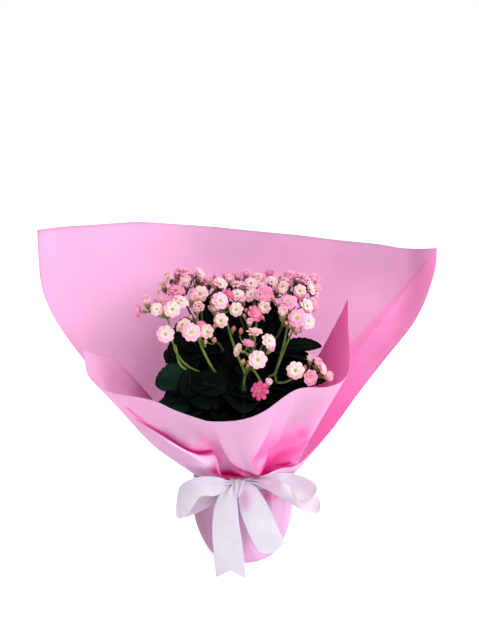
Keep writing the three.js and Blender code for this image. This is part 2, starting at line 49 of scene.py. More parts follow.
# The photograph's camera: a frame 640 pixels high, the focal length in pixels and the tilt below level
PHOTO_HEIGHT = 640
FOCAL_PIXELS = 796
CAMERA_AT = (-4.5, -854.6, 452.6)
CAMERA_TILT = 12
SENSOR = 36

# The studio, in metres: the lamps as [name, place, width, power], and where they aim
LAMPS = [("key", (1.1, -1.0, 1.1), 1.1, 18), ("side", (1.15, 0.5, 0.55), 0.6, 10)]
LAMPS_AIM = (0, 0, 0.2)
SURROUND = 1.01
FLOOR_RADIUS = 40
FLOOR_GLOW = 0.42

# The paper, its neck under the ribbon's band, and the bag round the pot as [radius, height]
PAPER_THICK = 0.4
UPRIGHT = 0.25
NECK = {"z": 108, "dip": 34, "back": 55.6, "front": 54.4}
BAND_BELOW = 11.5
BAG = [[36, 0.2], [41.5, 6], [51.5, 32], [55.6, 62]]
BASE_RINGS = [0, 6, 12, 18, 24, 30]

# How finely the back sheet is made: its edge, the bag's profile, its rows from the bag to the neck and up the
# fan, and how much closer the fan's rows stand at the neck
BACK_STEPS = {"sides": 9, "top": 14, "bag": 7, "neck": 14, "fan": 52}
BACK_EASE = 1.25
# The flat faces round the bag, as [how many, phase, slant for each mm up, depth]
FACETS = [(5, 0, 0.006, 1.9), (7, 0.3, -0.012, 1.3)]
# Where the fan swells out, or in at the curl, as [bearing, width in degrees, depth]
SWELLS = {
    "left rim": (318, 16, 6), "right rim": (42, 14, 5), "right curl": (119, 5.5, 5),
    "left belly": (296, 24, 10), "right belly": (62, 20, 4),
}
# Where up the fan the left belly and the curl are deepest, as [share of the way, width], and the fan's waves
LEFT_BELLY_UP = (0.27, 0.17)
CURL_UP = (0.72, 0.25)
WAVES = {"depth": 2.2, "count": 9, "phase": 0.7}
# The gathers below and above the band, and the front sheet's: how deep, and how far they reach, in mm below
# the band and in shares of the way up above it
GATHERS = {"below": (2.6, 26), "above": (3.2, 0.16), "front": (2.4, 0.12)}
GATHERS_START = 0.04

# The back sheet's edge, as [bearing at the neck, x, y, z]: down the left side, across the front under the bow
# and up the right side, then back along the top
BACK_SIDES = [
    [230, -237, 60, 364], [237, -231, 40, 311], [244, -220, 24, 284], [253, -203, 8, 260],
    [263, -173, -20, 231], [288, -124, -60, 187], [312, -71, -81, 162], [324, -46, -83, 149],
    [333, -29, -79, 145], [339, -26, -69, 121], [349, -13, -61, 114], [360, 0, -60, 113],
    [371, 13, -61, 113], [384, 24, -65, 118], [398, 37, -62, 125], [412, 51, -52, 122],
    [427, 66, -32, 121], [440, 97, -22, 152], [451, 127, -6, 188], [463, 160, 13, 224],
    [471, 178, 22, 243], [478, 195, 29, 262], [484, 206, 36, 282], [487, 214, 43, 302],
    [489, 221, 52, 324], [490, 223, 60, 343],
]
BACK_TOP = [
    [490, 223, 60, 343], [495, 204, 78, 340], [500, 184, 91, 340], [507, 162, 101, 343],
    [516, 116, 118, 346], [526, 67, 129, 351], [536, 18, 135, 355], [546, -32, 137, 360],
    [556, -81, 132, 364], [566, -128, 118, 368], [577, -173, 96, 367], [584, -210, 78, 366],
    [590, -237, 60, 364],
]

# The front sheet's edge: its left side, its top round the front and its right side. Its hem is hidden.
FRONT_EDGE = [
    [-122, -106, 12, 180], [-119, -121, 8, 200], [-115, -133, 0, 217], [-112, -143, -10, 231],
    [-110, -158, -25, 239], [-108.5, -166, -38, 246], [-108, -168, -41, 247], [-107, -168, -44, 245],
    [-104, -166, -50, 236], [-100, -163, -57, 227], [-96, -156, -63, 219], [-90, -142, -70, 212],
    [-83, -124, -76, 209], [-74, -104, -83, 208], [-66, -87, -88, 205], [-58, -70, -92, 198],
    [-42, -47, -96, 191], [4, -32, -98, 188], [12, -4, -99, 190], [17, 20, -96, 198], [24, 53, -87, 218],
    [42, 86, -74, 217], [58, 106, -57, 222], [72, 113, -38, 238], [86, 113, -16, 267], [98, 114, 0, 293],
    [99, 112, 3, 289], [102, 109, 10, 278], [106, 100, 20, 255], [110, 91, 28, 233], [113, 84, 32, 218],
    [117, 73, 36, 194],
]
FRONT_HEM = {"z": 58, "radius": 53.4}
FRONT_STEPS = {"edge": 11, "hem": 11, "rise": 90}
FRONT_EASE = 1.2

# Folds along the front sheet's rulings, as [which row of FRONT_EDGE, how far out, how far to the right, how
# many rows wide, and the share of the way up where it is deepest]
FRONT_FOLDS = [
    (12.8, 22, 0, 2.8, 0.45), (15.6, 10, 0, 0.9, 0.4), (18.35, 15, 0, 1.05, 0.5),
    (20.6, -9, 0, 0.7, 0.5), (21.4, 9, 0, 0.9, 0.2), (16.57, -8, 0, 0.25, 0.3),
    (17.16, 5, -8, 0.25, 0.36), (15.76, 3, 2, 0.2, 0.22), (19.96, 3, 3, 0.28, 0.4),
    (18.4, 5, 0, 0.8, 0.1),
]

# Painted light on the paper, as lines across the picture plane: a painted glow of deeper pink where its
# folds light each other, painted shade where it lies in shade, and painted light where its colour is lifted
# towards pale pink and less light comes through it. Each line is [x, z, half width, strength], where a width
# below zero paints only to the left. The back sheet's outside is painted in front alone, fading over
# FADE_DEPTH, and has a faint painted glow behind, where the band is. Its inside has a painted glow only
# before
# GLOW_DEPTH.
PAINT_STEPS = 16
FADE_DEPTH = 30
GLOW_DEPTH = 60
BAND_GLOW = {"strength": 0.25, "reach": 10}
FRONT_GLOW = [
    [[-121, 193, 1.2, 0.7], [-100, 176, 1.4, 0.8], [-80, 164, 1.5, 0.85], [-65, 155, 1.6, 0.9],
     [-53, 151, 1.8, 1]],
    [[-53, 150, 2, 1], [-46, 148, 2.4, 1], [-34, 149, 2.4, 1]],
    [[-83, 164, -4, 0.24], [-69, 156, -5, 0.34], [-55, 149, -6, 0.42], [-42, 145, -6, 0.45],
     [-32, 146, -4, 0.3]],
    [[-42, 167, 4, 0.24], [-36, 159, 4, 0.36], [-29, 152, 4, 0.4], [-27, 143, 4, 0.42], [-25, 134, 4, 0.5]],
    [[17, 118, -3, 0.95], [9, 120, -4, 0.95], [3, 123, -4, 0.95], [-4, 128, -5, 0.95],
     [-11, 135, -4, 0.6], [-17, 142, -4, 0.35], [-25, 152, -5, 0.2]],
    [[-32, 113, 3.2, 1], [-23, 114, 4, 1], [-12, 114, 4, 1], [-3, 112, 3.5, 1], [4, 111, 2.5, 0.7]],
    [[29, 188, -12, 0.08], [25, 175, -18, 0.26], [19, 163, -22, 0.5], [14, 154, -22, 0.58],
     [10, 148, -16, 0.56], [8, 141, -9, 0.44], [9, 133, -6, 0.38], [13, 125, -4, 0.38], [17, 119, -3, 0.5]],
    [[28, 148, -22, 0.48], [24, 141, -24, 0.62], [23, 134, -24, 0.74], [22, 127, -24, 0.84],
     [20, 118, -20, 0.95]],
    [[25, 126, 5, 0.85], [34, 131, 8, 0.78], [43, 135, 9, 0.74], [52, 138, 9, 0.68], [60, 140, 9, 0.62],
     [67, 148, 7, 0.6]],
    [[28, 147, 8, 0.58], [37, 148, 12, 0.58], [49, 150, 12, 0.52], [61, 155, 9, 0.5]],
    [[63, 159, 9, 0.6], [72, 171, 7, 0.24], [83, 188, 9, 0.1]],
    [[57, 128, 4, 0.6], [61, 130, 4, 0.6], [65, 135, 4, 0.5]],
    [[18, 115, 2.2, 1], [23, 120, 3, 1], [28, 123, 2.6, 1]],
    [[35, 123, 2.2, 1], [42, 122, 2.6, 1], [49, 124, 2.2, 1]],
]
FRONT_SHADE = [
    [[-56, 181, 5, 0.1], [-45, 172, 6, 0.25], [-36, 163, 5, 0.24], [-27, 155, 4, 0.2],
     [-16, 144, 2.5, 0.16]],
    [[17, 118, -2, 0.2], [9, 120, -3, 0.35], [3, 123, -4, 0.4], [-4, 128, -5, 0.5], [-11, 135, -4, 0.35],
     [-17, 142, -3, 0.25], [-25, 152, -3, 0.1]],
    [[-29, 112, 2.6, 0.15], [-19, 112, 3, 0.15], [-4, 111, 3, 0.2]],
    [[63, 198, 14, 0.12], [56, 180, 12, 0.1]],
]
FRONT_PAINTED_LIGHT = [
    [[-52, 130, 4, 0.3], [-45, 129, 5, 0.9], [-39, 127, 4, 1]],
]
FRONT_INNER_GLOW = [
    [[112, 290, 14, 0.5], [102, 243, 18, 0.5], [94, 197, 18, 0.5]],
    [[-105, 184, 14, 0.16], [-138, 207, 16, 0.1]],
]
BACK_GLOW = [
    [[35, 115, 8, 0.7], [59, 134, 16, 0.5], [75, 155, 20, 0.46]],
    [[77, 144, 20, 0.46], [113, 197, 22, 0.42], [128, 260, 26, 0.22]],
    [[35, 117, 2.4, 1], [50, 119, 2.4, 1]],
    [[152, 233, 24, 0.28], [185, 286, 34, 0.26], [205, 330, 34, 0.26]],
    [[179, 320, 60, 0.16], [69, 335, 60, 0.1], [-29, 341, 60, 0.06]],
    [[125, 270, 40, 0.12], [8, 246, 50, 0.06]],
    [[-36, 121, 10, 1], [-57, 148, 8, 0.6]],
]
BACK_SHADE = [
    [[-10, 349, 45, 0.34], [105, 335, 48, 0.4], [215, 320, 42, 0.52]],
    [[205, 334, 15, 0.7], [199, 286, 14, 0.6], [178, 245, 13, 0.4]],
    [[54, 282, 50, 0.18], [125, 280, 44, 0.26], [164, 232, 30, 0.28]],
    [[-96, 280, 18, 0.12], [-106, 233, 20, 0.24], [-109, 197, 16, 0.2]],
]
BAG_GLOW = [
    [[-42, 121, 4, 0.35], [-37, 122, 4, 0.6], [-32, 122, 3, 0.85]],
    [[-30, 118, 3.5, 1], [-19, 115, 4.5, 1], [-4, 115, 4.5, 1], [2, 114, 3, 0.8]],
    [[21, 116, 2, 0.4], [28, 120, 2.5, 0.2], [41, 122, 4, 0.16]],
    [[50, 121, 6, 0.12], [58, 107, 6, 0.06]],
    [[18, 82, -8, 0.45], [29, 82, -8, 0.45], [37, 82, -5, 0.4]],
    [[17, 98, 3.5, 0.4], [23, 93, 3.5, 0.35], [31, 87, 3, 0.3]],
    [[3, 23, 12, 0.1], [7, 15, 12, 0.1]],
    [[-47, 148, 1.3, 0.9], [-40, 148, 1.5, 1], [-34, 148, 1.4, 1]],
]
BAG_PAINTED_LIGHT = [
    [[-70, 152, 10, 0.8], [-51, 136, 10, 1], [-40, 131, 7.5, 1]],
    [[3, 75, 14, 0.4], [5, 23, 20, 0.4]],
    [[25, 68, 10, 0.5], [36, 53, 10, 0.25]],
    [[9, 114, 2.5, 1], [22, 114, 3.5, 1], [30, 119, 5, 1], [45, 120, 7, 0.5], [56, 127, 8, 0.25]],
]
BAG_SHADE = [
    [[-52, 77, 12, 0.5], [-50, 47, 13, 0.56], [-42, 23, 12, 0.42]],
    [[-54, 61, 2, 0.4], [-53, 42, 2, 0.45], [-42, 24, 2, 0.3]],
    [[-29, 118, 2.5, 0.1], [-19, 114, 2.5, 0.1], [1, 114, 2.5, 0.1]],
    [[32, 66, -7, 0.1], [35, 73, -7, 0.12], [36, 81, -6, 0.1]],
    [[15, 6, -10, 0.2], [7, 28, -10, 0.16], [1, 44, -8, 0.1]],
    [[-56, 121, 2.5, 0.3], [-50, 119, 2.5, 0.15]],
]


def smoothed(knots, steps):
    """Smooth rows of numbers through the given ones, with a few steps between each two."""
    knots = np.array(knots, float)
    last = len(knots) - 1
    rows = []
    for i in range(last):
        p, q, r, s = knots[max(i - 1, 0)], knots[i], knots[i + 1], knots[min(i + 2, last)]
        for t in np.arange(steps) / steps:
            bend = 2 * p - 5 * q + 4 * r - s
            twist = 3 * (q - r) + s - p
            rows.append(q + 0.5 * t * (r - p + t * (bend + t * twist)))
    rows.append(knots[last])
    return np.array(rows)


def around(bearing, radius, z):
    """Points at bearings from the front, out from the middle of the pot."""
    turn = np.radians(bearing)
    return np.stack([radius * np.sin(turn), -radius * np.cos(turn), z + 0 * turn], -1)


def at_neck(bearing, radius):
    return around(bearing, radius, NECK["z"] - NECK["dip"] * (1 - np.cos(np.radians(bearing))) / 2)


def ruling(neck, edge, share):
    """The points at a share of the way up the rulings, which leave the neck a little steeper than their reach
    and come straight to the top edge."""
    reach = edge - neck
    length = np.linalg.norm(reach, axis=-1, keepdims=True)
    rise = ((1 - UPRIGHT) * reach / length + [0, 0, UPRIGHT]) * length
    s = share
    return ((2 * s**3 - 3 * s**2 + 1) * neck + (s**3 - 2 * s**2 + s) * rise
            + (3 * s**2 - 2 * s**3) * edge + (s**3 - s**2) * reach)


def unit(rows):
    return rows / np.maximum(np.linalg.norm(rows, axis=-1, keepdims=True), 1e-9)


def bell(place, middle, width):
    return np.exp(-(((place - middle) / width) ** 2))


def crease(turns):
    """A fold line at each whole turn, flat between them, from 0 to 1."""
    return np.abs(2 * (turns % 1) - 1)


def gathers(bearing):
    """The paper's small gathers round the neck, from 0 to a little over 1."""
    turn = np.radians(bearing)
    wave = np.cos(13 * turn + 0.4) + 0.7 * np.cos(19 * turn + 2.1) + 0.5 * np.cos(29 * turn + 4)
    return np.clip(0.35 + 0.42 * wave, 0, 1.2)


def painted(grid, lines):
    """How strongly each point is painted, from its distance to lines in the picture plane."""
    found = np.zeros(grid.shape[:2])
    for line in lines:
        rows = smoothed(line, PAINT_STEPS)
        step = unit(np.gradient(rows[:, :2], axis=0))
        across = grid[..., 0, None] - rows[:, 0]
        up = grid[..., 2, None] - rows[:, 1]
        nearest = (across**2 + up**2).argmin(-1)[..., None]
        across, up = (np.take_along_axis(part, nearest, -1)[..., 0] for part in (across, up))
        near = nearest[..., 0]
        share = rows[near, 3] * np.exp(-(across**2 + up**2) / rows[near, 2] ** 2 / 2)
        if line[0][2] < 0:
            share = share * np.clip((step[near, 0] * up - step[near, 1] * across) / 2 + 0.5, 0, 1)
        found = np.maximum(found, share)
    return found


def deselect():
    bpy.ops.object.select_all(action="DESELECT")


def make_active(piece):
    deselect()
    piece.select_set(True)
    bpy.context.view_layer.objects.active = piece


def add_object(name, data):
    made = bpy.data.objects.new(name, data)
    bpy.context.scene.collection.objects.link(made)
    return made


def add_mesh(name, points, faces, uvs):
    """A new mesh object from points in millimetres, with a place on the sheet for each point."""
    mesh = bpy.data.meshes.new(name)
    mesh.from_pydata((np.array(points) * MM).tolist(), [], faces)
    mesh.polygons.foreach_set("use_smooth", [True] * len(mesh.polygons))
    corners = np.zeros(len(mesh.loops), int)
    mesh.loops.foreach_get("vertex_index", corners)
    layer = mesh.uv_layers.new(name="UVMap")
    layer.data.foreach_set("uv", np.array(uvs, np.float32)[corners].ravel())
    return add_object(name, mesh)


def mark(piece, name, values):
    """A number at each point of the mesh, which its material reads."""
    attribute = piece.data.attributes.new(name, "FLOAT", "POINT")
    attribute.data.foreach_set("value", np.broadcast_to(values, len(piece.data.vertices)).astype(np.float32))


def sheet_faces(columns, rows, closed, pole):
    """The faces of a thin sheet's two sides and its rims, for a layer of points on each side."""
    layer = columns * rows
    spans = np.arange(columns if closed else columns - 1)
    steps = np.arange(rows - 1)
    i, j = np.meshgrid(spans, steps, indexing="ij")
    a, b = i * rows + j, (i + 1) % columns * rows + j
    quads = np.stack([a, b, b + 1, a + 1], -1).reshape(-1, 4)
    start, end = spans * rows, (spans + 1) % columns * rows
    rims = [(end + rows - 1, start + rows - 1)]
    if not pole:
        rims.append((start, end))
    if not closed:
        last = (columns - 1) * rows
        rims += [(steps + 1, steps), (last + steps, last + steps + 1)]
    faces = [quads, quads[:, ::-1] + layer]
    faces += [np.stack([a, a + layer, b + layer, b], -1) for a, b in rims]
    return np.concatenate(faces).tolist()


def thin_sheet(name, grid, thick, closed=False, pole=False, **marks):
    """A thin closed sheet on both sides of a grid of points, columns first. A closed grid joins its last
    column to its first, and a pole is a first row that is one point. The marks are numbers at the grid's
    points, for the outer and the inner side."""
    columns, rows = grid.shape[:2]
    if closed:
        across = np.roll(grid, -1, 0) - np.roll(grid, 1, 0)
    else:
        across = np.gradient(grid, axis=0)
    normal = unit(np.cross(across, np.gradient(grid, axis=1)))
    normal[np.linalg.norm(normal, axis=-1) < 0.5] = (0, 0, -1)
    points = np.concatenate([(grid + side * normal * thick / 2).reshape(-1, 3) for side in (1, -1)])
    u, v = np.meshgrid(np.linspace(0, 1, columns), np.linspace(0, 1, rows), indexing="ij")
    uvs = np.tile(np.stack([u, v], -1).reshape(-1, 2), (2, 1))
    made = add_mesh(name, points, sheet_faces(columns, rows, closed, pole), uvs)
    for mark_name, (outer, inner) in marks.items():
        mark(made, mark_name, np.concatenate([outer.ravel(), inner.ravel()]))
    return made


def start_editing(piece):
    make_active(piece)
    bpy.ops.object.mode_set(mode="EDIT")
    bpy.ops.mesh.select_all(action="SELECT")


def stop_editing():
    bpy.ops.object.mode_set(mode="OBJECT")


def merge_points(piece):
    start_editing(piece)
    bpy.ops.mesh.remove_doubles(threshold=1e-5)
    stop_editing()


def bag_rows(bearing, neck):
    """The back sheet's rows under the pot, up round it and on to the neck, with flat faces and gathers."""
    rows = [around(bearing, radius, BAG[0][1]) for radius in BASE_RINGS]
    rows += [around(bearing, radius, height) for radius, height in smoothed(BAG, BACK_STEPS["bag"])]
    waist = rows[-1]
    steps = BACK_STEPS["neck"]
    depth, reach = GATHERS["below"]
    rows += [waist + share * (neck - waist) for share in np.arange(1, steps + 1) / steps]
    for k in range(len(BASE_RINGS) + 1, len(rows)):
        z = rows[k][:, 2]
        below = np.clip(neck[:, 2] - BAND_BELOW - z, 0, None)
        fold = gathers(bearing) * np.minimum(below / 5, 1) * np.exp(-below / reach) * depth
        facet = sum(high * crease(count * bearing / 360 + slant * z + phase)
                    for count, phase, slant, high in FACETS)
        facet = facet * np.clip(z / 20, 0, 1) * np.clip(below / 12, 0, 1)
        rows[k] = rows[k] + (fold + facet)[:, None] * around(bearing, 1, 0)
    return rows


def fan_rows(bearing, neck, edge):
    """The back sheet's rows from the neck up to its edge, with gathers, rims, bellies and waves."""
    side = bearing % 360
    swell = {name: depth * bell(side, middle, width) for name, (middle, width, depth) in SWELLS.items()}
    turn = np.radians(bearing)
    behind = np.clip(-np.cos(turn), 0, 1)
    depth, reach = GATHERS["above"]
    rows = []
    for step in np.arange(1, BACK_STEPS["fan"] + 1) / BACK_STEPS["fan"]:
        share = step**BACK_EASE
        point = ruling(neck, edge, share)
        fold = gathers(bearing) * depth * min(share / GATHERS_START, 1) * math.exp(-share / reach)
        rim = (swell["left rim"] + swell["right rim"]) * share**2.5
        belly = swell["left belly"] * bell(share, *LEFT_BELLY_UP) * min(share / 0.08, 1)
        belly = belly + swell["right belly"] * math.sin(math.pi * share)
        curl = swell["right curl"] * bell(share, *CURL_UP)
        wave = behind * WAVES["depth"] * np.cos(WAVES["count"] * turn + WAVES["phase"])
        wave = wave * math.sin(math.pi * share) ** 2
        rows.append(point + (fold + rim + belly - curl + wave)[:, None] * unit(point * [1, 1, 0]))
    return rows


def back_paper():
    """The large sheet: the base, the bag round the pot, the neck and the tall fan behind the flowers."""
    sides = smoothed(BACK_SIDES, BACK_STEPS["sides"])
    edge = np.concatenate([sides[:-1], smoothed(BACK_TOP, BACK_STEPS["top"])[:-1]])
    bearing = edge[:, 0]
    neck = at_neck(bearing, NECK["back"])
    grid = np.stack(bag_rows(bearing, neck) + fan_rows(bearing, neck, edge[:, 1:]), 1)
    in_front = np.clip(1 - grid[..., 1] / FADE_DEPTH, 0, 1)
    # Painted glow faintly behind, where the band is; painted glow, painted light and painted shade in front;
    # painted glow and painted shade inside
    from_neck = np.abs(grid[..., 2] - neck[:, None, 2])
    at_band = BAND_GLOW["strength"] * np.exp(-from_neck / BAND_GLOW["reach"])
    outer = np.maximum(at_band * (1 - in_front), painted(grid, BAG_GLOW) * in_front)
    inner = painted(grid, BACK_GLOW) * (grid[..., 1] < GLOW_DEPTH)
    firm = painted(grid, BAG_PAINTED_LIGHT) * in_front
    shade = (painted(grid, BAG_SHADE) * in_front, painted(grid, BACK_SHADE))
    made = thin_sheet("wrap_back_paper", grid, PAPER_THICK, closed=True, pole=True, blush=(outer, inner),
                      firm=(firm, firm), shade=shade)
    merge_points(made)
    return made


def folded(point, outward, across, share):
    """The points moved by the front sheet's folds, outwards and to the side."""
    aside = np.stack([-outward[:, 1], outward[:, 0], 0 * across], -1)
    for row, out, slip, width, peak in FRONT_FOLDS:
        power = math.log(0.5) / math.log(peak)
        depth = bell(across, row, width) * math.sin(math.pi * share**power) ** 1.2
        point = point + (out * depth)[:, None] * outward + (slip * depth)[:, None] * aside
    return point


def front_paper():
    """The smaller sheet that stands up inside the back sheet's bag."""
    edge = smoothed(FRONT_EDGE, FRONT_STEPS["edge"])
    bearing = edge[:, 0]
    across = np.arange(len(edge)) / FRONT_STEPS["edge"]
    neck = at_neck(bearing, NECK["front"])
    hem = around(bearing, FRONT_HEM["radius"], FRONT_HEM["z"])
    depth, reach = GATHERS["front"]
    rows = [hem + share * (neck - hem) for share in np.arange(FRONT_STEPS["hem"] + 1) / FRONT_STEPS["hem"]]
    for step in np.arange(1, FRONT_STEPS["rise"] + 1) / FRONT_STEPS["rise"]:
        share = step**FRONT_EASE
        point = ruling(neck, edge[:, 1:], share)
        outward = unit(point * [1, 1, 0])
        soft = gathers(bearing) * depth * min(share / GATHERS_START, 1) * math.exp(-share / reach)
        rows.append(folded(point, outward, across, share) + soft[:, None] * outward)
    grid = np.stack(rows, 1)
    # Painted glow, painted shade and painted light outside; inside a painted glow, which also darkens it as
    # painted shade
    inner = painted(grid, FRONT_INNER_GLOW)
    blush = (painted(grid, FRONT_GLOW), inner)
    shade = (painted(grid, FRONT_SHADE), 0.8 * inner)
    firm = (painted(grid, FRONT_PAINTED_LIGHT), 0 * inner)
    return thin_sheet("wrap_front_paper", grid, PAPER_THICK, blush=blush, shade=shade, firm=firm)


# The ribbon: its make, the gathers of its runs at the knot, and the band and the knot
RIBBON_THICK = 0.25
RIBBON_STEPS = 7
RIBBON_COLUMNS = 33
CROWN = 1.1
PLEATS = {"count": 2, "depth": 3, "reach": 16}
BAND = {"radius": 56.9, "drop": 1.2, "high": 10, "columns": 120, "rows": 15}
KNOT = {"columns": 41, "rows": 17, "foot": 97, "high": 16.5, "folds": 5, "wrap": 1.15}
# Its runs, as rows of the two edges, [x, y, z, x, y, z], from the knot outwards
LEFT_LOOP = [
    [-6, -67, 112, -6, -68, 103], [-17.3, -71, 114.1, -19.4, -73, 107.1],
    [-24.5, -76, 118.9, -24.6, -78, 102], [-33.8, -79, 121.7, -32.3, -82, 100.8],
    [-44, -82, 122.8, -40.4, -85, 102.8], [-52.3, -83, 121.2, -46.6, -87, 101.1],
    [-59.1, -82, 117.7, -52.4, -87, 92.2], [-64.3, -79, 113.1, -58.9, -85, 81.7],
    [-67.5, -76, 108.4, -66.5, -82, 75.4], [-68.8, -72, 103.3, -71.2, -77, 75.7],
    [-68.3, -68, 98.1, -69.5, -72, 71.7], [-62.1, -65, 100.1, -61.3, -68, 70.3],
    [-51.5, -65, 101.3, -51.7, -67, 73.9], [-40.9, -65, 102.4, -42.1, -66, 78.6],
    [-29.2, -64, 104.2, -28.3, -65, 85.6], [-15.4, -63, 108.3, -15.4, -64, 94],
]
RIGHT_LOOP = [
    [0.5, -67, 113.5, 0.5, -68, 110.5], [12.1, -70, 114.8, 12.1, -74, 110.9],
    [21.6, -69, 113.8, 20.4, -78, 108.6], [31.2, -66, 112.1, 28.6, -81, 105],
    [39.8, -63, 109.5, 36.9, -83, 100.4], [46.4, -61, 105.2, 44.2, -84, 96.4],
    [50.7, -61, 100.1, 51.5, -85, 92.1], [53.9, -62, 93.6, 58.8, -85, 87.5],
    [58.2, -63, 87.2, 65.2, -84, 83.5], [64.1, -63, 85.7, 71.7, -82, 80.8],
    [70.1, -61, 87.3, 77.7, -79, 79.9], [75.2, -57, 91.4, 81.1, -74, 82.7],
    [78.9, -52, 94.9, 81.4, -66, 87.5], [78.7, -47, 98.3, 80.2, -57, 85],
    [72.9, -44, 102.4, 73.4, -50, 77.1], [64.6, -44, 106.7, 62.8, -46, 74.1],
    [55.8, -46, 110.3, 52.8, -47, 80.4], [46.9, -50, 113.5, 43.8, -51, 88.1],
    [36.9, -55, 115.4, 34.9, -56, 95], [26.1, -60, 115, 25.1, -60, 101.3],
    [11.1, -63, 112.3, 11.2, -63, 107.2],
]
LEFT_TAIL = [
    [-12, -68, 108, -5, -68, 106], [-20, -73, 107.1, -7.9, -75, 104.6],
    [-25.7, -77, 100.4, -7.3, -79, 98.5], [-30.9, -79.5, 87.5, -6.3, -81, 87.1],
    [-33.1, -80, 68.5, -4.7, -81, 69], [-32.9, -79.5, 48.8, -2.1, -80, 50.2],
    [-31.5, -76.5, 25.2, 0.5, -77, 25.5], [-29.6, -73, 2.9, 2.9, -73, 1.4],
]
RIGHT_TAIL = [
    [-10, -67, 110.1, 0.5, -67, 110.1], [-7.9, -71, 107.3, 7.9, -71, 109.6],
    [-6.8, -74, 101.9, 14.2, -73, 105.4], [-6.3, -76, 93.8, 20.5, -74, 96.3],
    [-4.2, -77, 81.8, 26.9, -74, 84.4], [0, -77, 69.3, 32.3, -73, 71.3],
    [4.8, -76, 56.2, 37.1, -71, 58.3], [10.1, -75, 44.2, 41.1, -68, 47.5],
    [14.4, -73, 33.8, 43.4, -66, 39.4], [17.7, -72, 26.3, 45.1, -64, 33.7],
]
# How far each run's tip is cut back, evenly across it
V_CUT = (0, 5.5, 11, 5.5, 0)
ROUND_CUT = (5.5, 1.6, 0, 2.4, 6)
STRAIGHT = (0, 0)
# Painted pink light and shade from the paper behind, on the near run of each loop and on the tails, as lines
# like those of the paper
LEFT_LOOP_PINK_LIGHT = [
    [[-70, 108, 6, 0.2], [-68, 90, 6, 0.2]],
    [[-50, 113, 12, 0.12], [-37, 117, 10, 0.14]],
]
RIGHT_LOOP_PINK_LIGHT = [
    [[13, 113, 4, 0.5], [24, 110, 6, 0.5], [33, 107, 6, 0.4]],
    [[34, 108, 9, 0.2], [44, 102, 9, 0.2], [51, 94, 6, 0.1]],
]
LEFT_TAIL_PINK_LIGHT = [
    [[-8, 100, 5, 0.1], [-8, 89, 5, 0.16]],
]
RIGHT_TAIL_PINK_LIGHT = [
    [[1, 103, 4.5, 0.6], [1, 96, 5.5, 1], [1, 88, 5, 0.85]],
    [[3, 111, 6, 0.24], [14, 103, 6, 0.2]],
]
# The same painted pink light for the inner sides of the loops, which show beyond their near runs
LEFT_LOOP_INSIDE = [
    [[-30, 90, 4, 0.4], [-42, 84, 5, 0.42], [-53, 77, 5, 0.4]],
]
RIGHT_LOOP_INSIDE = [
    [[13, 109, 4, 0.6], [24, 112, 6, 0.6], [34, 112, 6, 0.3]],
    [[57, 104, 9, 0.34], [69, 93, 9, 0.36], [65, 82, 8, 0.32]],
]
# Painted light where the right loop is lighter, and painted shade where its near run is darker
RIGHT_LOOP_LIGHT = [
    [[63, 83, 5, 0.4], [72, 84, 6, 0.62], [79, 90, 6, 0.62]],
    [[65, 83, 4, 0.3], [71, 86, 5, 0.4], [77, 93, 4, 0.4]],
]
RIGHT_LOOP_SHADE = [
    [[35, 108, 7, 0.3], [44, 102, 8, 0.55], [52, 94, 7, 0.6], [57, 87, 5, 0.3]],
]
# The flat sizes of the bow's pieces, in metres
RIBBON_WIDTH = 0.03
LOOP_FLAT = (RIBBON_WIDTH, 0.155)
LEFT_TAIL_FLAT = (RIBBON_WIDTH, 0.115)
RIGHT_TAIL_FLAT = (RIBBON_WIDTH, 0.09)
BAND_FLAT = (0.0102, 0.36)
KNOT_FLAT = (0.022, 0.026)


def ribbon_run(name, run, cuts, outer, inner, light=(), shade=()):
    """A length of ribbon between two edges, crowned a little across and pleated towards the knot."""
    rows = smoothed(run, RIBBON_STEPS)
    left, right = rows[:, :3], rows[:, 3:]
    middle = (left + right) / 2
    normal = unit(np.cross(unit(np.gradient(middle, axis=0)), right - left))
    narrow = np.clip(1 - np.linalg.norm(right - left, axis=1) / (RIBBON_WIDTH / MM), 0, 1)
    lengths = np.concatenate([[0], np.cumsum(np.linalg.norm(np.diff(middle, axis=0), axis=1))])
    near_knot = np.exp(-lengths / PLEATS["reach"]) + np.exp((lengths - lengths[-1]) / PLEATS["reach"])
    grid = []
    for share in np.linspace(0, 1, RIBBON_COLUMNS):
        crown = CROWN * (1 - (2 * share - 1) ** 2)
        pleat = PLEATS["depth"] * narrow * near_knot * math.cos(PLEATS["count"] * TURN * share)
        points = left + share * (right - left) + (crown + pleat)[:, None] * normal
        end = 1 - np.interp(share, np.linspace(0, 1, len(cuts)), cuts) / lengths[-1]
        grid.append(np.stack([np.interp(lengths * end, lengths, points[:, k]) for k in range(3)], -1))
    grid = np.stack(grid)
    # Painted pink light on each side, painted light on both sides and painted shade outside
    return thin_sheet(name, grid, RIBBON_THICK, blush=(painted(grid, outer), painted(grid, inner)),
                      firm=(painted(grid, light), painted(grid, light)),
                      shade=(painted(grid, shade), 0 * grid[..., 0]))


def ribbon_band():
    """The band round the neck, tilted with it, its gathers flattened by the pull of the knot."""
    bearing = np.linspace(0, 360, BAND["columns"], endpoint=False)
    top = at_neck(bearing, BAND["radius"]) - [0, 0, BAND["drop"]]
    turn = np.radians(bearing)
    rows = []
    for share in np.linspace(0, 1, BAND["rows"]):
        sag = 0.5 * np.sin(math.pi * share) + 0.25 * np.cos(4 * math.pi * share + 3 * turn)
        rows.append(top - [0, 0, BAND["high"] * (1 - share)] + sag[:, None] * around(bearing, 1, 0))
    return thin_sheet("ribbon_band", np.stack(rows, 1), RIBBON_THICK, closed=True)


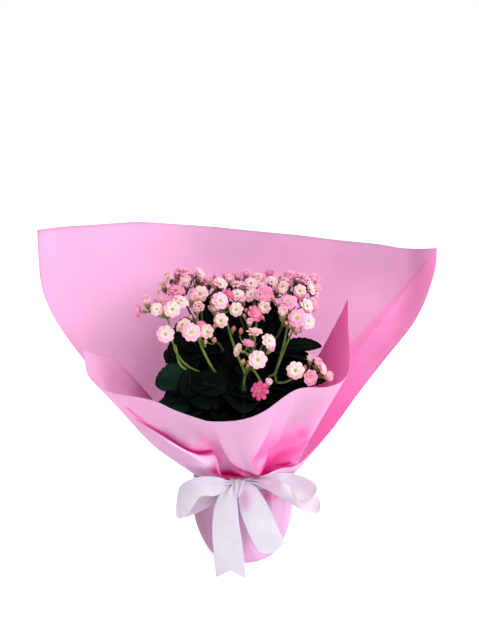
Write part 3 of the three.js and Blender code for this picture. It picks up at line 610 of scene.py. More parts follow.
def ribbon_knot():
    """The knot: a pleated wrap of ribbon over the middle that narrows to a point between the tails."""
    grid = []
    for share in np.linspace(0, 1, KNOT["columns"]):
        column = []
        for rise in np.linspace(0, 1, KNOT["rows"]):
            half = 1.6 + 10 * rise**0.9
            turn = math.pi * (share - 0.5) * KNOT["wrap"]
            pleat = (0.5 + 1.3 * rise) * math.cos(KNOT["folds"] * TURN * share + 0.8)
            front = 67 + 11.5 * (1 - rise) ** 0.8 + 2.5 * math.sin(math.pi * rise)
            column.append([-7.6 + 4 * rise + half * math.sin(turn),
                           -front + 5.5 * (1 - math.cos(turn)) - pleat * math.cos(turn),
                           KNOT["foot"] + KNOT["high"] * rise])
        grid.append(column)
    return thin_sheet("ribbon_knot", np.array(grid), RIBBON_THICK)


# The leafy shoots: a ring of six in the soil, at bearings from the right, and their leaves from the lowest up
SHOOT = {"ring": 27, "foot": 68, "low": 204, "high": 234, "radii": (3.6, 3.1, 2.6), "sides": 10}
SHOOTS = [(30, "side", "high"), (90, "back", "high"), (150, "side", "high"),
          (210, "side", "low"), (270, "front", "low"), (330, "side", "low")]
# The shoots that have crown leaves, and how much higher some leaves stand on every other shoot
CROWNED = (0, 2)
PAIR_STAGGER = 20
FULLNESS_STAGGER = 6


def leaf_row(turn, z, rise, droop, length, width):
    return {"turn": turn, "z": z, "rise": rise, "droop": droop, "length": length, "width": width}


PAIRS = [leaf_row(50, 150, 24, 0.3, 36, 30), leaf_row(-50, 150, 24, 0.3, 36, 30)]
OUTER_LEAVES = {
    "front": leaf_row(0, 192, 26, 0.5, 50, 46),
    "side": leaf_row(0, 197, 32, 0.8, 52, 44),
    "back": leaf_row(0, 194, 34, 0.2, 52, 42),
}
INNER_LEAVES = [leaf_row(180, 199, 40, 0.5, 22, 19), leaf_row(180, 176, 40, 0.5, 22, 19)]
CROWN_LEAVES = [leaf_row(56, 228, 34, 0.8, 42, 38), leaf_row(-50, 227, 36, 0.8, 44, 40)]
MIDDLE_LEAF = leaf_row(180, 214, 36, 0.8, 38, 34)
LEAF_LENGTH = 50
LEAF_WIDTH = 42
LEAF_DROOPS = (0.15, 0.2, 0.25, 0.3, 0.5, 0.8)
LEAF_ROWS = 40
LEAF_LOBES = 7
LEAF_THICK = 1.3
# How much painted highlight the rest of the leaves have
LEAF_PAINTED_HIGHLIGHT = 0.15
LEAF_FOLD = 0.13

# The leaves that face the viewer, as [x, y, z, bearing, rise, roll, droop, length, width, painted highlight],
# and the rest of each shoot's leaves, as [z, turn, rise, droop, length, width]
LEAVES_IN_VIEW = [
    (-62, -30, 219, 200, -14, -62, 0.25, 34, 30, 0.7),
    (-57, -47, 196, 95, 80, 0, 0.15, 31, 26, 0),
    (-18, -44, 206, 184, 16, -70, 0.2, 46, 26, 0.05),
    (-50, -24, 214, 196, 0, -40, 0.25, 44, 42, 0.05),
    (-64, 14, 230, 96, 68, 0, 0.15, 42, 32, 0),
    (-20, -44, 196, 190, 8, -55, 0.2, 40, 32, 0.2),
    (-50, -10, 221, 166, 26, -42, 0.2, 42, 38, 0.1),
    (-46, 2, 236, 160, 40, -30, 0.2, 40, 36, 0),
    (-60, 0, 214, 130, 56, -10, 0.2, 42, 38, 0),
    (42, 2, 236, 8, 10, 34, 0.15, 46, 21, 0.05),
    (44, -6, 224, 6, 6, 34, 0.15, 36, 30, 0),
    (60, -16, 209, -3, 6, 35, 0.15, 31, 26, 0.1),
    (-58, -52, 188, 190, 2, -24, 0.25, 40, 34, 0.3),
    (-42, 26, 246, 92, 80, 0, 0.15, 50, 20, 0), (-14, 28, 238, 96, 78, 0, 0.15, 48, 28, 0),
    (0, 30, 240, 88, 80, 0, 0.15, 47, 28, 0), (14, 28, 238, 92, 78, 0, 0.15, 50, 28, 0),
    (28, 26, 238, 86, 80, 0, 0.15, 50, 28, 0), (40, 24, 236, 84, 78, 0, 0.15, 48, 24, 0),
    (-26, 26, 228, 94, 76, 0, 0.15, 44, 26, 0),
    (-30, 8, 213, 100, 66, 0, 0.15, 46, 42, 0),
    (-8, 4, 211, 84, 68, 0, 0.15, 46, 42, 0),
    (14, 6, 215, 96, 66, 0, 0.15, 44, 40, 0),
    (36, 8, 213, 78, 64, 0, 0.15, 44, 40, 0),
    (-52, 14, 208, 110, 60, 0, 0.2, 44, 40, 0),
    (4, -20, 196, 80, 50, 0, 0.2, 44, 42, 0),
    (-22, -22, 194, 100, 48, 0, 0.2, 44, 42, 0.2),
    (30, -22, 196, 70, 46, 0, 0.2, 44, 42, 0),
    (-8, -46, 186, 240, 6, 0, 0.25, 36, 38, 0),
    (22, -40, 190, -40, 8, 30, 0.25, 32, 34, 0),
    (-34, -48, 184, 215, 2, -20, 0.25, 38, 36, 0),
    (48, -30, 196, -20, 10, 35, 0.25, 30, 32, 0),
    (-40, -14, 190, 190, 10, -30, 0.25, 46, 42, 0),
    (46, -6, 200, 10, 20, 30, 0.25, 36, 36, 0),
]
FULLNESS = [
    (132, 20, 30, 0.2, 28, 26), (150, 80, 20, 0.2, 38, 34), (150, -100, 20, 0.3, 38, 34),
    (168, 15, 14, 0.3, 44, 40), (168, 190, 24, 0.2, 34, 32), (184, 75, 20, 0.3, 44, 40),
    (184, -85, 20, 0.3, 44, 40), (192, 20, 24, 0.25, 44, 40),
]

# Painted shade on the green of stalks and stems: how far back it is darkest, and how far in front lightest,
# in metres
DARK_FROM = 0.012
LIGHT_FROM = -0.012

# The sprays: fork, and heads as [middle, lean, open flowers, buds, where the branch bends]
SPRAYS = [
    {"fork": (38, 18, 248), "heads": [
        [(60, 20, 309), (0.3, -0.3, 0.9), 6, 1, (44, 16, 262)],
        [(54, 56, 298), (0.2, 0.5, 0.85), 4, 1, (44, 30, 262)]]},
    {"fork": (4, 32, 250), "heads": [
        [(16, 30, 313), (0.1, -0.3, 0.9), 5, 1, (8, 34, 266)],
        [(-7, 4, 295), (-0.1, -0.55, 0.8), 3, 1, (-2, 22, 264)],
        [(8, 66, 300), (0.0, 0.5, 0.85), 4, 1, (6, 44, 266)]]},
    {"fork": (-42, 16, 248), "heads": [
        [(-74, 20, 308), (-0.35, -0.3, 0.9), 6, 0, (-58, 18, 272)],
        [(-45, 10, 307), (0.1, -0.4, 0.9), 4, 0, (-46, 14, 268)],
        [(-46, 58, 297), (-0.2, 0.5, 0.85), 4, 1, (-44, 34, 264)]]},
    {"fork": (-27, -34, 215), "heads": [
        [(-89, -20, 287), (-0.5, -0.4, 0.8), 5, 1, (-66, -30, 232)],
        [(-79, -45, 260), (-0.45, -0.6, 0.6), 1, 0, (-66, -34, 227)],
        [(-48, -44, 270), (0.0, -0.6, 0.8), 5, 2, (-41, -42, 243)]]},
    {"fork": (2, -30, 218), "heads": [
        [(-24, -24, 293), (-0.2, -0.6, 0.8), 3, 1, (-10, -22, 246)],
        [(16, -14, 294), (0.1, -0.6, 0.8), 4, 0, (12, -12, 250)],
        [(11, -56, 250), (0.0, -0.7, 0.65), 5, 2, (8, -44, 232)],
        [(20, -87, 225), (0.1, -0.95, 0.3), 1, 1, (9, -58, 231)]]},
    {"fork": (34, -16, 214), "heads": [
        [(52, -12, 293), (0.1, -0.6, 0.8), 4, 1, (43, -12, 243)],
        [(59, -34, 275), (0.4, -0.7, 0.6), 2, 2, (44, -16, 241)],
        [(66, -52, 228), (0.4, -0.75, 0.5), 3, 2, (40, -44, 212)]]},
]
# The flowers that face the viewer, as [x, y, z, turn to the right, rise, width, kind, blush]
FLOWERS_IN_VIEW = [
    (-109, -28, 286, -55, 10, 18, "cupped", 0.6), (-103, -18, 295, -20, 70, 8.6, "half", 0.2),
    (-92, -30, 289, -5, 25, 15.3, "open", 0.05), (-89, -14, 295, 0, 65, 17.2, "open", 0.7),
    (-75, -36, 290, 5, 18, 18.9, "open", 0.1), (-67, -22, 296, 40, 50, 19.2, "open", 0.2),
    (-90, 10, 304, -75, 15, 16.5, "cupped", 0.2), (-83, 14, 315, -60, 35, 15.4, "open", 0.2),
    (-67, 20, 322, 0, 80, 22.2, "open", 0.6), (-50, 20, 319, 55, 45, 14.4, "cupped", 0.25),
    (-63, 10, 309, 10, 70, 11, "half", 0.1), (-74, 2, 303, 0, 55, 21.8, "open", 0.75),
    (-47, -5, 301, -12, 12, 19, "open", 0.2), (-40, 30, 310, 10, 60, 15.7, "open", 0.5),
    (-26, 12, 308, 35, 45, 16.5, "cupped", 0.05), (-21, 34, 312, 0, 80, 7.9, "half", 0.6),
    (-25, -24, 297, 25, 25, 20.2, "open", 0.35), (-16, -8, 301, 30, 50, 14, "open", 0.95),
    (-50, -18, 283, 0, 78, 15, "trumpet", 0.15), (-31, -22, 285, -10, 70, 7.5, "half", 0.15),
    (-24, -36, 278, -20, 10, 16.8, "open", 0.05), (-64, -40, 274, -40, 45, 18.3, "open", 0.1),
    (-54, -56, 270, 0, 20, 20.6, "open", 0.35), (-44, -42, 273, 30, 40, 14.6, "open", 0.85),
    (-37, -54, 270, -25, 15, 16, "cupped", 0), (-81, -52, 267, 5, 12, 19.7, "open", 0.3),
    (-46, -50, 264, 0, 60, 6.7, "half", 0.5), (-10, 40, 314, -10, 75, 13.6, "open", 0.8),
    (-8, 18, 308, 0, 70, 14.4, "star", 0.4), (4, 44, 318, 0, 75, 11.4, "star", 0.6),
    (8, 14, 309, 5, 35, 16.6, "open", 0.35), (17, 34, 314, 25, 55, 14.7, "open", 0.3),
    (31, 22, 309, 20, 45, 14.5, "cupped", 0.1), (29, 40, 312, 10, 70, 10.2, "half", 0.8),
    (-7, -4, 300, 5, 50, 16.8, "open", 0.05), (8, -6, 300, -30, 40, 16.8, "open", 0.25),
    (22, -10, 302, 15, 12, 19.4, "cupped", 0.7), (-8, -22, 287, -5, 5, 16.5, "open", 0.02),
    (12, -28, 284, 40, 30, 19.6, "open", 0.85), (23, -22, 290, -15, -5, 14.4, "cupped", 0.02),
    (42, 6, 307, 30, -5, 14.8, "cupped", 0.05), (45, 22, 312, -10, 80, 13.4, "open", 0.3),
    (52, 28, 317, -5, 60, 15.7, "star", 0.6), (65, 22, 315, 15, 60, 16.7, "star", 0.62),
    (71, 16, 312, 35, 50, 14.9, "open", 0.55), (61, -4, 304, -10, 10, 15.2, "open", 0.15),
    (71, 2, 305, 60, 30, 16.9, "cupped", 0.15), (80, 10, 301, 80, 10, 15.4, "open", 0.3),
    (47, -22, 296, 0, 52, 21.3, "open", 0.65), (60, -2, 298, 20, 60, 12, "open", 0.85),
    (68, -14, 289, 35, 15, 18.8, "open", 0.15), (41, -30, 282, -5, 65, 11.1, "half", 0.15),
    (56, -38, 281, -15, 25, 21, "open", 0.55), (68, -30, 276, 35, 20, 19.1, "open", 0.3),
    (70, -16, 283, 60, 30, 11.8, "star", 0.7), (6, -36, 274, 0, 60, 7.4, "half", 0.3),
    (11, -44, 264, 0, 76, 17.7, "trumpet", 0.15), (26, -54, 260, 35, 30, 18.1, "open", 0.12),
    (4, -50, 255, 30, 60, 14, "cupped", 0.65), (-4, -58, 251, -60, 25, 15, "cupped", 0.08),
    (14, -72, 245, 0, 12, 20.3, "open", 0.2), (26, -56, 250, 40, 50, 7.2, "half", 0.5),
    (16, -88, 217, -25, 15, 20.1, "star", 1), (24, -80, 221, 30, 60, 7.6, "half", 0.15),
    (53, -66, 232, -8, 12, 20, "open", 0.05), (67, -64, 224, 25, 5, 18, "cupped", 0.66),
    (80, -54, 230, 60, 30, 15, "cupped", 0.3), (84, -50, 222, 50, 10, 11, "half", 0.2),
    (76, -56, 235, 20, 60, 9, "half", 0.35), (69, -52, 238, 0, 65, 7.8, "half", 0.2),
    (77, 24, 308, 30, 60, 12.3, "half", 0.5), (-77, 26, 309, -20, 60, 13.4, "open", 0.3),
    (-17, 26, 308, 20, 60, 11.2, "half", 0.3), (37, 10, 301, 10, 40, 11, "half", 0.4),
    (-56, -8, 294, 20, 55, 9.7, "half", 0.3), (-1, -12, 293, -10, 55, 8.6, "half", 0.2),
    (-83, 24, 313, -20, 55, 10, "half", 0.1), (-51, 26, 312, 20, 70, 10, "half", 0.35),
    (-88, 22, 301, -40, 45, 10, "half", 0.15), (-63, 12, 305, 0, 55, 9, "half", 0.1),
    (-39, 28, 306, 0, 70, 10, "half", 0.4), (-26, 20, 303, 10, 55, 11, "half", 0.2),
    (-13, 34, 303, -10, 65, 10, "half", 0.25), (-8, 28, 299, 0, 45, 10, "half", 0.45),
    (3, 40, 312, 0, 70, 9, "half", 0.6), (19, 38, 308, 0, 65, 10, "half", 0.15),
    (30, 30, 306, 0, 55, 10, "half", 0.1), (50, 30, 311, 0, 70, 10, "half", 0.75),
    (59, 28, 309, 10, 70, 10, "half", 0.8), (69, 24, 306, 20, 65, 10, "half", 0.7),
    (78, 18, 299, 30, 45, 11, "half", 0.4), (50, 26, 303, 0, 55, 10, "half", 0.5),
    (72, 8, 286, 30, 40, 11, "half", 0.15), (42, -16, 280, 0, 45, 11, "half", 0.2),
    (-50, -14, 285, 10, 35, 13, "half", 0.1), (-103, -22, 293, -30, 60, 10, "half", 0.3),
    (-19, 2, 295, -10, 45, 10, "half", 0.6), (-33, 0, 281, -10, 45, 10, "half", 0.15),
    (27, 6, 291, 0, 45, 10, "half", 0.2), (36, 16, 300, 0, 55, 9, "half", 0.3),
    (-74, 30, 312, 0, 60, 9, "half", 0.7), (-60, 28, 310, 10, 60, 9, "half", 0.6),
    (10, 36, 308, 0, 60, 9, "half", 0.5), (-6, 36, 310, 0, 65, 9, "half", 0.6),
    (63, 22, 302, 10, 55, 9, "half", 0.6), (74, 2, 282, 40, 40, 10, "half", 0.5),
]
# The buds that face the viewer, as [x, y, z, width]
BUDS_IN_VIEW = [
    (-31, -46, 259, 5.6), (-31, -34, 271, 4.8), (-40, -46, 257, 4.4), (50, -36, 278, 5),
    (45, -36, 275, 4.4), (3, -24, 286, 4.9), (1, -24, 280, 4.3), (-11, -30, 267, 5.5), (-3, -32, 265, 5.3),
    (-1, -58, 239, 4.6), (4, -62, 236, 4.1), (55, -36, 267, 5.3), (49, -34, 271, 4.2),
    (-17, -20, 290, 4.7), (32, -12, 296, 4.5), (-56, -34, 280, 4.4), (64, -50, 230, 4.7),
    (20, -32, 280, 4.4), (38, -18, 289, 4.3), (-35, -8, 291, 4.3),
    (-75, 22, 311, 3.8), (-44, 20, 303, 4), (-33, 30, 314, 3.8), (-17, 28, 307, 4), (8, 34, 309, 4),
    (23, 24, 304, 4), (41, 30, 312, 4), (75, 14, 294, 4), (63, 14, 300, 3.8), (-69, 0, 293, 3.8),
    (-30, 0, 293, 4), (-6, -4, 284, 4.2), (16, -2, 288, 4), (49, -20, 273, 4.4), (61, -20, 268, 4.4),
    (-59, -24, 273, 4.2),
]
# The seeded heads: the least and greatest radius of flowers and buds, and reach of their stalks, the angle
# that the stalks spread over, a flower's width for its radius and the share of flowers that are cupped
FLOWER_RADIUS = (7.4, 9.4)
BUD_RADIUS = (2, 2.8)
STALK_REACH = (15, 21)
STALK_SPREAD = 70
FLOWER_SPREAD = 2.1
CUPPED_SHARE = 0.3
# Where a flower in view grows from, behind its face
FLOWER_DEPTH = 8
# The stalks: how far one sways, how far from its flower it turns to it, how far it reaches in, and the radii
STALK_SWAY = 4
STALK_TURN = 4
STALK_OVERLAP = 0.6
MAIN_STALK = [1.9, 1.6, 1.4]
BRANCH = [1.5, 1.4, 1.1]
FLOWER_STALK = [0.9, 0.7, 0.7, 0.9]
# How far the buds in view turn to either side, and the least and greatest of their rise and blush
BUD_TURN = 30
BUD_RISE = (40, 80)
BUD_BLUSH = (0.45, 1)
# The seeded flowers stand behind the first depth, and behind a flower in line by the second
BEHIND = {"from": 12, "after": 9}
# How often they are moved apart, and to which share of their radii in the same spray and in two sprays
SETTLING = {"rounds": 60, "same": 0.98, "other": 1.12}
SEED = 20477
WORD = 0xFFFFFFFF


def draws(seed):
    """A small seeded draw of numbers from 0 to 1."""
    state = seed & WORD

    def draw():
        nonlocal state
        state = (state + 0x6D2B79F5) & WORD
        mixed = ((state ^ (state >> 15)) * (1 | state)) & WORD
        mixed = ((mixed + (mixed ^ (mixed >> 7)) * (61 | mixed)) & WORD) ^ mixed
        return (mixed ^ (mixed >> 14)) / 4294967296

    return draw


def between(draw, low, high):
    return low + (high - low) * draw()


def swing(direction):
    """The shortest turn of the Z axis onto a direction."""
    x, y, z = unit(np.array(direction, float))
    k = 1 / (1 + z)
    return np.array([[1 - x * x * k, -x * y * k, x], [-x * y * k, 1 - y * y * k, y], [-x, -y, z]])


def placement(at, direction, turn, scale):
    """The matrix, in metres, that stands a piece modelled up the Z axis at a point, along a direction."""
    made = Matrix(swing(direction).tolist()).to_4x4() @ Matrix.Rotation(turn, 4, "Z") @ Matrix.Scale(scale, 4)
    made.translation = Vector(at) * MM
    return made


def head_places(s, h):
    """The open flowers and buds of one head, set round a dome."""
    middle, lean, flowers, buds, _ = SPRAYS[s]["heads"][h]
    near, far = STALK_REACH
    draw = draws(SEED + 101 * s + 13 * h)
    lean = unit(np.array(lean, float))
    hub = np.array(middle, float) - near * lean
    start = TURN * draw()
    total = flowers + buds
    places = []
    for i in range(total):
        spread = math.radians(STALK_SPREAD) * math.sqrt(i / max(total - 1, 1)) * (0.9 + 0.2 * draw())
        bearing = start + i * GOLDEN_ANGLE + 0.4 * (draw() - 0.5)
        away = swing(lean) @ [math.sin(spread) * math.cos(bearing),
                              math.sin(spread) * math.sin(bearing), math.cos(spread)]
        low, high = FLOWER_RADIUS if i < flowers else BUD_RADIUS
        radius = between(draw, low, high)
        at = hub + away * between(draw, near, far)
        draw()  # passed over, so that the numbers after it stay the same
        places.append({"spray": s, "head": h, "open": i < flowers, "radius": radius, "hub": hub, "at": at})
    return places


def flower_places():
    """The open flowers and buds of every head, settled apart."""
    places = []
    for s, spray in enumerate(SPRAYS):
        for h in range(len(spray["heads"])):
            places += head_places(s, h)
    for _ in range(SETTLING["rounds"]):
        settle(places)
    return places


def settle(places):
    """Moves each two that are too close half the missing distance apart."""
    for i, one in enumerate(places):
        for other in places[i + 1:]:
            apart = other["at"] - one["at"]
            share = SETTLING["same"] if one["spray"] == other["spray"] else SETTLING["other"]
            missing = share * (one["radius"] + other["radius"]) - np.linalg.norm(apart)
            if missing > 0:
                push = unit(apart) * missing / 2
                other["at"] = other["at"] + push
                one["at"] = one["at"] - push


def pick(piece, wanted):
    """Selects in edit mode the points that the test picks."""
    shape = bmesh.from_edit_mesh(piece.data)
    for vertex in shape.verts:
        vertex.select_set(wanted(vertex.co))
    shape.select_flush_mode()
    bmesh.update_edit_mesh(piece.data)


def blade(name, columns, rows, length, spans, heights, cup):
    """A flat blade from its base at the origin along +Y: a grid shaped row by row to the given widths and
    heights, with its sides raised by cup for each unit of width."""
    length = length * MM
    deselect()
    bpy.ops.mesh.primitive_grid_add(x_subdivisions=columns, y_subdivisions=rows, size=1)
    made = bpy.context.object
    made.name = made.data.name = name
    start_editing(made)
    bpy.ops.mesh.select_mode(type="VERT")
    bpy.ops.transform.resize(value=(1, length, 1), center_override=(0, 0, 0))
    bpy.ops.transform.translate(value=(0, length / 2, 0))
    for k in range(1, columns // 2 + 1):
        at = k / columns
        pick(made, lambda co: abs(abs(co.x) - at) < 0.01)
        bpy.ops.transform.translate(value=(0, 0, (2 * at) ** 2 * cup))
    for k in range(rows + 1):
        at = k * length / rows
        pick(made, lambda co: abs(co.y - at) < 0.3 * length / rows)
        span = spans[k] * MM
        bpy.ops.transform.resize(value=(span, 1, span), center_override=(0, 0, 0))
        bpy.ops.transform.translate(value=(0, 0, heights[k] * MM))
    stop_editing()
    return made


# A petal's width along it, as shares of its length and of its width
PETAL_OUTLINE = ((0, 0.34), (0.25, 0.72), (0.5, 0.97), (0.75, 1.0), (1, 0.62))
PETAL_CUP = 0.16
# Its tip, in shares of its length: where it starts, the notch's half width and depth, and how far its corners
# are drawn in, which start at a share of its width
PETAL_TIP = {"from": 0.95, "notch": 0.1, "notch depth": 0.08, "corner": 0.25, "corner depth": 0.11}
PETAL_THICK = 0.22


def petal(length, width, lift, curl, columns, rows):
    """A broad petal, narrow at the base, with a round tip notched in the middle."""
    shares = [k / rows for k in range(rows + 1)]
    spans = [width * np.interp(s, *zip(*PETAL_OUTLINE)) for s in shares]
    heights = [lift * s**0.8 - curl * s**3 for s in shares]
    made = blade("petal", columns, rows, length, spans, heights, PETAL_CUP)
    start_editing(made)
    tip = length * MM
    if columns > 2:
        pick(made, lambda co: co.y > PETAL_TIP["from"] * tip and abs(co.x) < PETAL_TIP["notch"] * tip)
        bpy.ops.transform.translate(value=(0, -PETAL_TIP["notch depth"] * tip, 0))
    pick(made, lambda co: co.y > PETAL_TIP["from"] * tip and abs(co.x) > PETAL_TIP["corner"] * width * MM)
    bpy.ops.transform.translate(value=(0, -PETAL_TIP["corner depth"] * tip, 0))
    stop_editing()
    thicken(made, PETAL_THICK)
    return made


def thicken(piece, thick):
    """Gives a leaf or petal its body."""
    make_active(piece)
    body = piece.modifiers.new("body", "SOLIDIFY")
    body.thickness = thick * MM
    body.offset = 0
    bpy.ops.object.modifier_apply(modifier=body.name)
    bpy.ops.object.shade_smooth()


def copy_of(piece, matrix):
    made = piece.copy()
    made.data = piece.data.copy()
    bpy.context.scene.collection.objects.link(made)
    made.data.transform(matrix)
    return made


def joined(name, pieces):
    """The pieces as one mesh object at the origin."""
    deselect()
    for piece in pieces:
        piece.select_set(True)
    bpy.context.view_layer.objects.active = pieces[0]
    bpy.ops.object.join()
    made = bpy.context.object
    made.name = made.data.name = name
    return made


def stems(name, runs, finish, sides=6):
    """Round stems along smooth runs of points, each with its radii, as one mesh."""
    curve = bpy.data.curves.new(name, "CURVE")
    curve.dimensions = "3D"
    curve.bevel_depth = MM
    curve.bevel_resolution = max(sides // 2 - 2, 0)
    curve.resolution_u = 4
    curve.use_fill_caps = True
    for points, radii in runs:
        spline = curve.splines.new("BEZIER")
        spline.bezier_points.add(len(points) - 1)
        for knot, point, radius in zip(spline.bezier_points, points, radii):
            knot.co = Vector(point) * MM
            knot.radius = radius
            knot.handle_left_type = knot.handle_right_type = "AUTO"
    make_active(add_object(name, curve))
    bpy.ops.object.convert(target="MESH")
    bpy.ops.object.shade_smooth()
    return dress(bpy.context.object, finish)


def cup_shape(name, rings):
    """A closed turned shape up the Z axis through [radius, height] rings, drawn up from the lowest."""
    deselect()
    radius, height = rings[0]
    bpy.ops.mesh.primitive_circle_add(vertices=SIDES, radius=radius * MM, fill_type="NGON",
                                      location=(0, 0, height * MM))
    made = bpy.context.object
    made.name = made.data.name = name
    bpy.ops.object.transform_apply(location=True)
    start_editing(made)
    for (before, low), (after, high) in zip(rings, rings[1:]):
        bpy.ops.mesh.extrude_region_move(TRANSFORM_OT_translate={"value": (0, 0, (high - low) * MM)})
        bpy.ops.transform.resize(value=(after / before, after / before, 1))
    bpy.ops.mesh.select_all(action="SELECT")
    bpy.ops.mesh.normals_make_consistent(inside=False)
    stop_editing()
    bpy.ops.object.shade_smooth()
    return made


def dress(piece, finish):
    piece.data.materials.clear()
    piece.data.materials.append(finish)
    return piece


# The rings of petals of each kind of flower, from the outermost: how many, length, width, how far the tip
# lifts and curls down, how high the ring stands, its tilt, and the petal's columns and rows
RINGS = {
    "open": [(7, 9.4, 7.2, 1.2, 1.4, 0, 0, 4, 4), (6, 6.4, 5.6, 1.7, 0.4, 0.5, 5, 4, 3)],
    "cupped": [(7, 9.0, 7.2, 3.2, 0.6, 0, 10, 4, 4), (6, 6.4, 5.4, 3.0, 0.2, 0.5, 16, 4, 3)],
    "star": [(8, 10.0, 4.9, 1.6, 1.4, 0, 0, 4, 4), (6, 5.6, 3.6, 2.0, 0.2, 0.6, 8, 2, 3)],
    "trumpet": [(7, 9.0, 4.4, 1.4, 2.0, 0, 36, 4, 4), (5, 6.0, 3.4, 1.2, 0.2, 0.4, 50, 2, 3)],
    "half": [(6, 6.2, 4.6, 1.0, -0.6, 0, 52, 2, 3), (5, 5.6, 3.8, 0.6, -0.8, 0.3, 68, 2, 3)],
}
# The turned shapes, as [radius, height] from the lowest ring up, and how many sides they have
SIDES = 8
TUBES = {
    "open": [[0.9, -7.5], [1.9, -6.2], [1.5, -3.5], [1.5, -1.2], [2.0, -0.2], [0.7, 0.2]],
    "trumpet": [[0.9, -13], [1.7, -11.6], [1.3, -8], [1.5, -3], [2.2, 0], [0.7, 0.4]],
    "half": [[0.8, -4.5], [1.9, -3.4], [1.9, -1.4], [2.1, -0.1], [0.7, 0.3]],
}
THROAT = [[1.8, -0.2], [1.75, 1.0], [1.3, 1.5], [0.5, 1.6]]
BUD = [[0.8, -2.4], [1.5, -1.9], [2.2, -0.6], [2.4, 0.8], [2.0, 2.4], [1.2, 3.7], [0.35, 4.5]]
# How far the buds' ribs are drawn in
BUD_RIB = 0.86
# How a petal stands in its ring: its roll, its greatest sway and nod in radians, the ring's turn for each mm
# that it stands higher, and the petal's foot, from the middle and up
PETAL_ROLL = math.radians(11)
PETAL_SWAY = 0.07
PETAL_NOD = 0.08
RING_TURN = 0.45
PETAL_FOOT = (0.5, -0.4)
# The calyx leaves of a flower and of a bud: length, widths and heights along them, how far they stand out
# from the middle and up from the foot, the turn of their ring, and how far they rise in degrees
CALYXES = {
    "flower": {"length": 4.2, "spans": [0.9, 1.7, 1.2, 0.2], "heights": [0, 0.3, 0.2, 0.4],
               "out": 1.1, "up": 0.9, "turn": 0.3, "rise": 68},
    "bud": {"length": 3.4, "spans": [1.2, 1.9, 1.2, 0.2], "heights": [0, 0.3, 0.4, 0.2],
            "out": 0.9, "up": -2.3, "turn": 0, "rise": 64},
}
SEPAL_CUP = 0.2
SEPAL_THICK = 0.3


def calyx(kind, foot, green):
    """Four narrow leaves round the foot of a flower's tube or a bud."""
    shape = CALYXES[kind]
    sepal = blade("sepal", 2, 3, shape["length"], shape["spans"], shape["heights"], SEPAL_CUP)
    thicken(dress(sepal, green), SEPAL_THICK)
    parts = []
    for k in range(4):
        stand = Matrix.Rotation(TURN * k / 4 + shape["turn"], 4, "Z")
        stand = stand @ Matrix.Translation((0, shape["out"] * MM, (foot + shape["up"]) * MM))
        parts.append(copy_of(sepal, stand @ Matrix.Rotation(math.radians(shape["rise"]), 4, "X")))
    bpy.data.objects.remove(sepal)
    return parts


def floret(kind, petals, green, centre):
    """A double flower facing up the Z axis: rings of overlapping petals, a tube, its calyx and a green
    throat, which a half-open flower doesn't show."""
    parts = []
    for count, length, width, lift, curl, rise, lean, columns, rows in RINGS[kind]:
        one = dress(petal(length, width, lift, curl, columns, rows), petals)
        for k in range(count):
            sway = PETAL_SWAY * math.sin(7 * k + length)
            turn = Matrix.Rotation(TURN * k / count + RING_TURN * rise + sway, 4, "Z")
            stand = turn @ Matrix.Translation((0, PETAL_FOOT[0] * MM, (rise + PETAL_FOOT[1]) * MM))
            tilt = Matrix.Rotation(math.radians(lean) + PETAL_NOD * math.sin(5 * k + 2 * length), 4, "X")
            parts.append(copy_of(one, stand @ tilt @ Matrix.Rotation(PETAL_ROLL, 4, "Y")))
        bpy.data.objects.remove(one)
    tube = TUBES.get(kind, TUBES["open"])
    parts.append(dress(cup_shape("tube", tube), green))
    if kind != "half":
        parts.append(dress(cup_shape("throat", THROAT), centre))
    return joined("floret_" + kind, parts + calyx("flower", tube[0][1], green))


def closed_bud(petals, green):
    """A bud: a pointed oval of closed petals, ribbed by their folds, in its calyx."""
    body = dress(cup_shape("bud_body", BUD), petals)
    start_editing(body)
    pick(body, lambda co: round(math.degrees(math.atan2(co.y, co.x)) / 45) % 2 == 0)
    bpy.ops.transform.resize(value=(BUD_RIB, BUD_RIB, 1), center_override=(0, 0, 0))
    stop_editing()
    return joined("bud", [body, *calyx("bud", 0, green)])


# The blush of the flowers behind: up to each share of them, from the first number to the second
FLOWER_BLUSH = ((0.42, 0.02, 0.16), (0.70, 0.26, 0.42), (0.93, 0.5, 0.72), (1.0, 0.85, 1.0))


def floret_blush(draw):
    """How pink a flower is, from 0, cream, to 1, deep pink: most are nearly white."""
    sort = draw()
    for limit, low, high in FLOWER_BLUSH:
        if sort <= limit:
            return between(draw, low, high)
    return 1.0


def facing(turn, rise):
    """A direction by how far it turns from the viewer to the right and how far it rises, in degrees."""
    turn, rise = math.radians(turn), math.radians(rise)
    return np.array([math.sin(turn) * math.cos(rise), -math.cos(turn) * math.cos(rise), math.sin(rise)])


def flowers_in_view(draw):
    found = []
    for x, y, z, turn, rise, width, kind, blush in FLOWERS_IN_VIEW:
        found.append({"at": np.array([x, y, z], float), "away": facing(turn, rise), "width": width,
                      "kind": kind, "blush": blush, "turn": TURN * draw()})
    for x, y, z, width in BUDS_IN_VIEW:
        away = facing(between(draw, -BUD_TURN, BUD_TURN), between(draw, *BUD_RISE))
        found.append({"at": np.array([x, y, z], float), "away": away, "width": width, "kind": "bud",
                      "blush": between(draw, *BUD_BLUSH), "turn": TURN * draw()})
    return found


def in_the_way(flower, at):
    """Whether a flower is in line with a place that isn't well behind it."""
    apart = flower["at"] - at
    in_line = math.hypot(apart[0], apart[2]) < 0.5 * flower["width"]
    return in_line and at[1] < flower["at"][1] + BEHIND["after"]


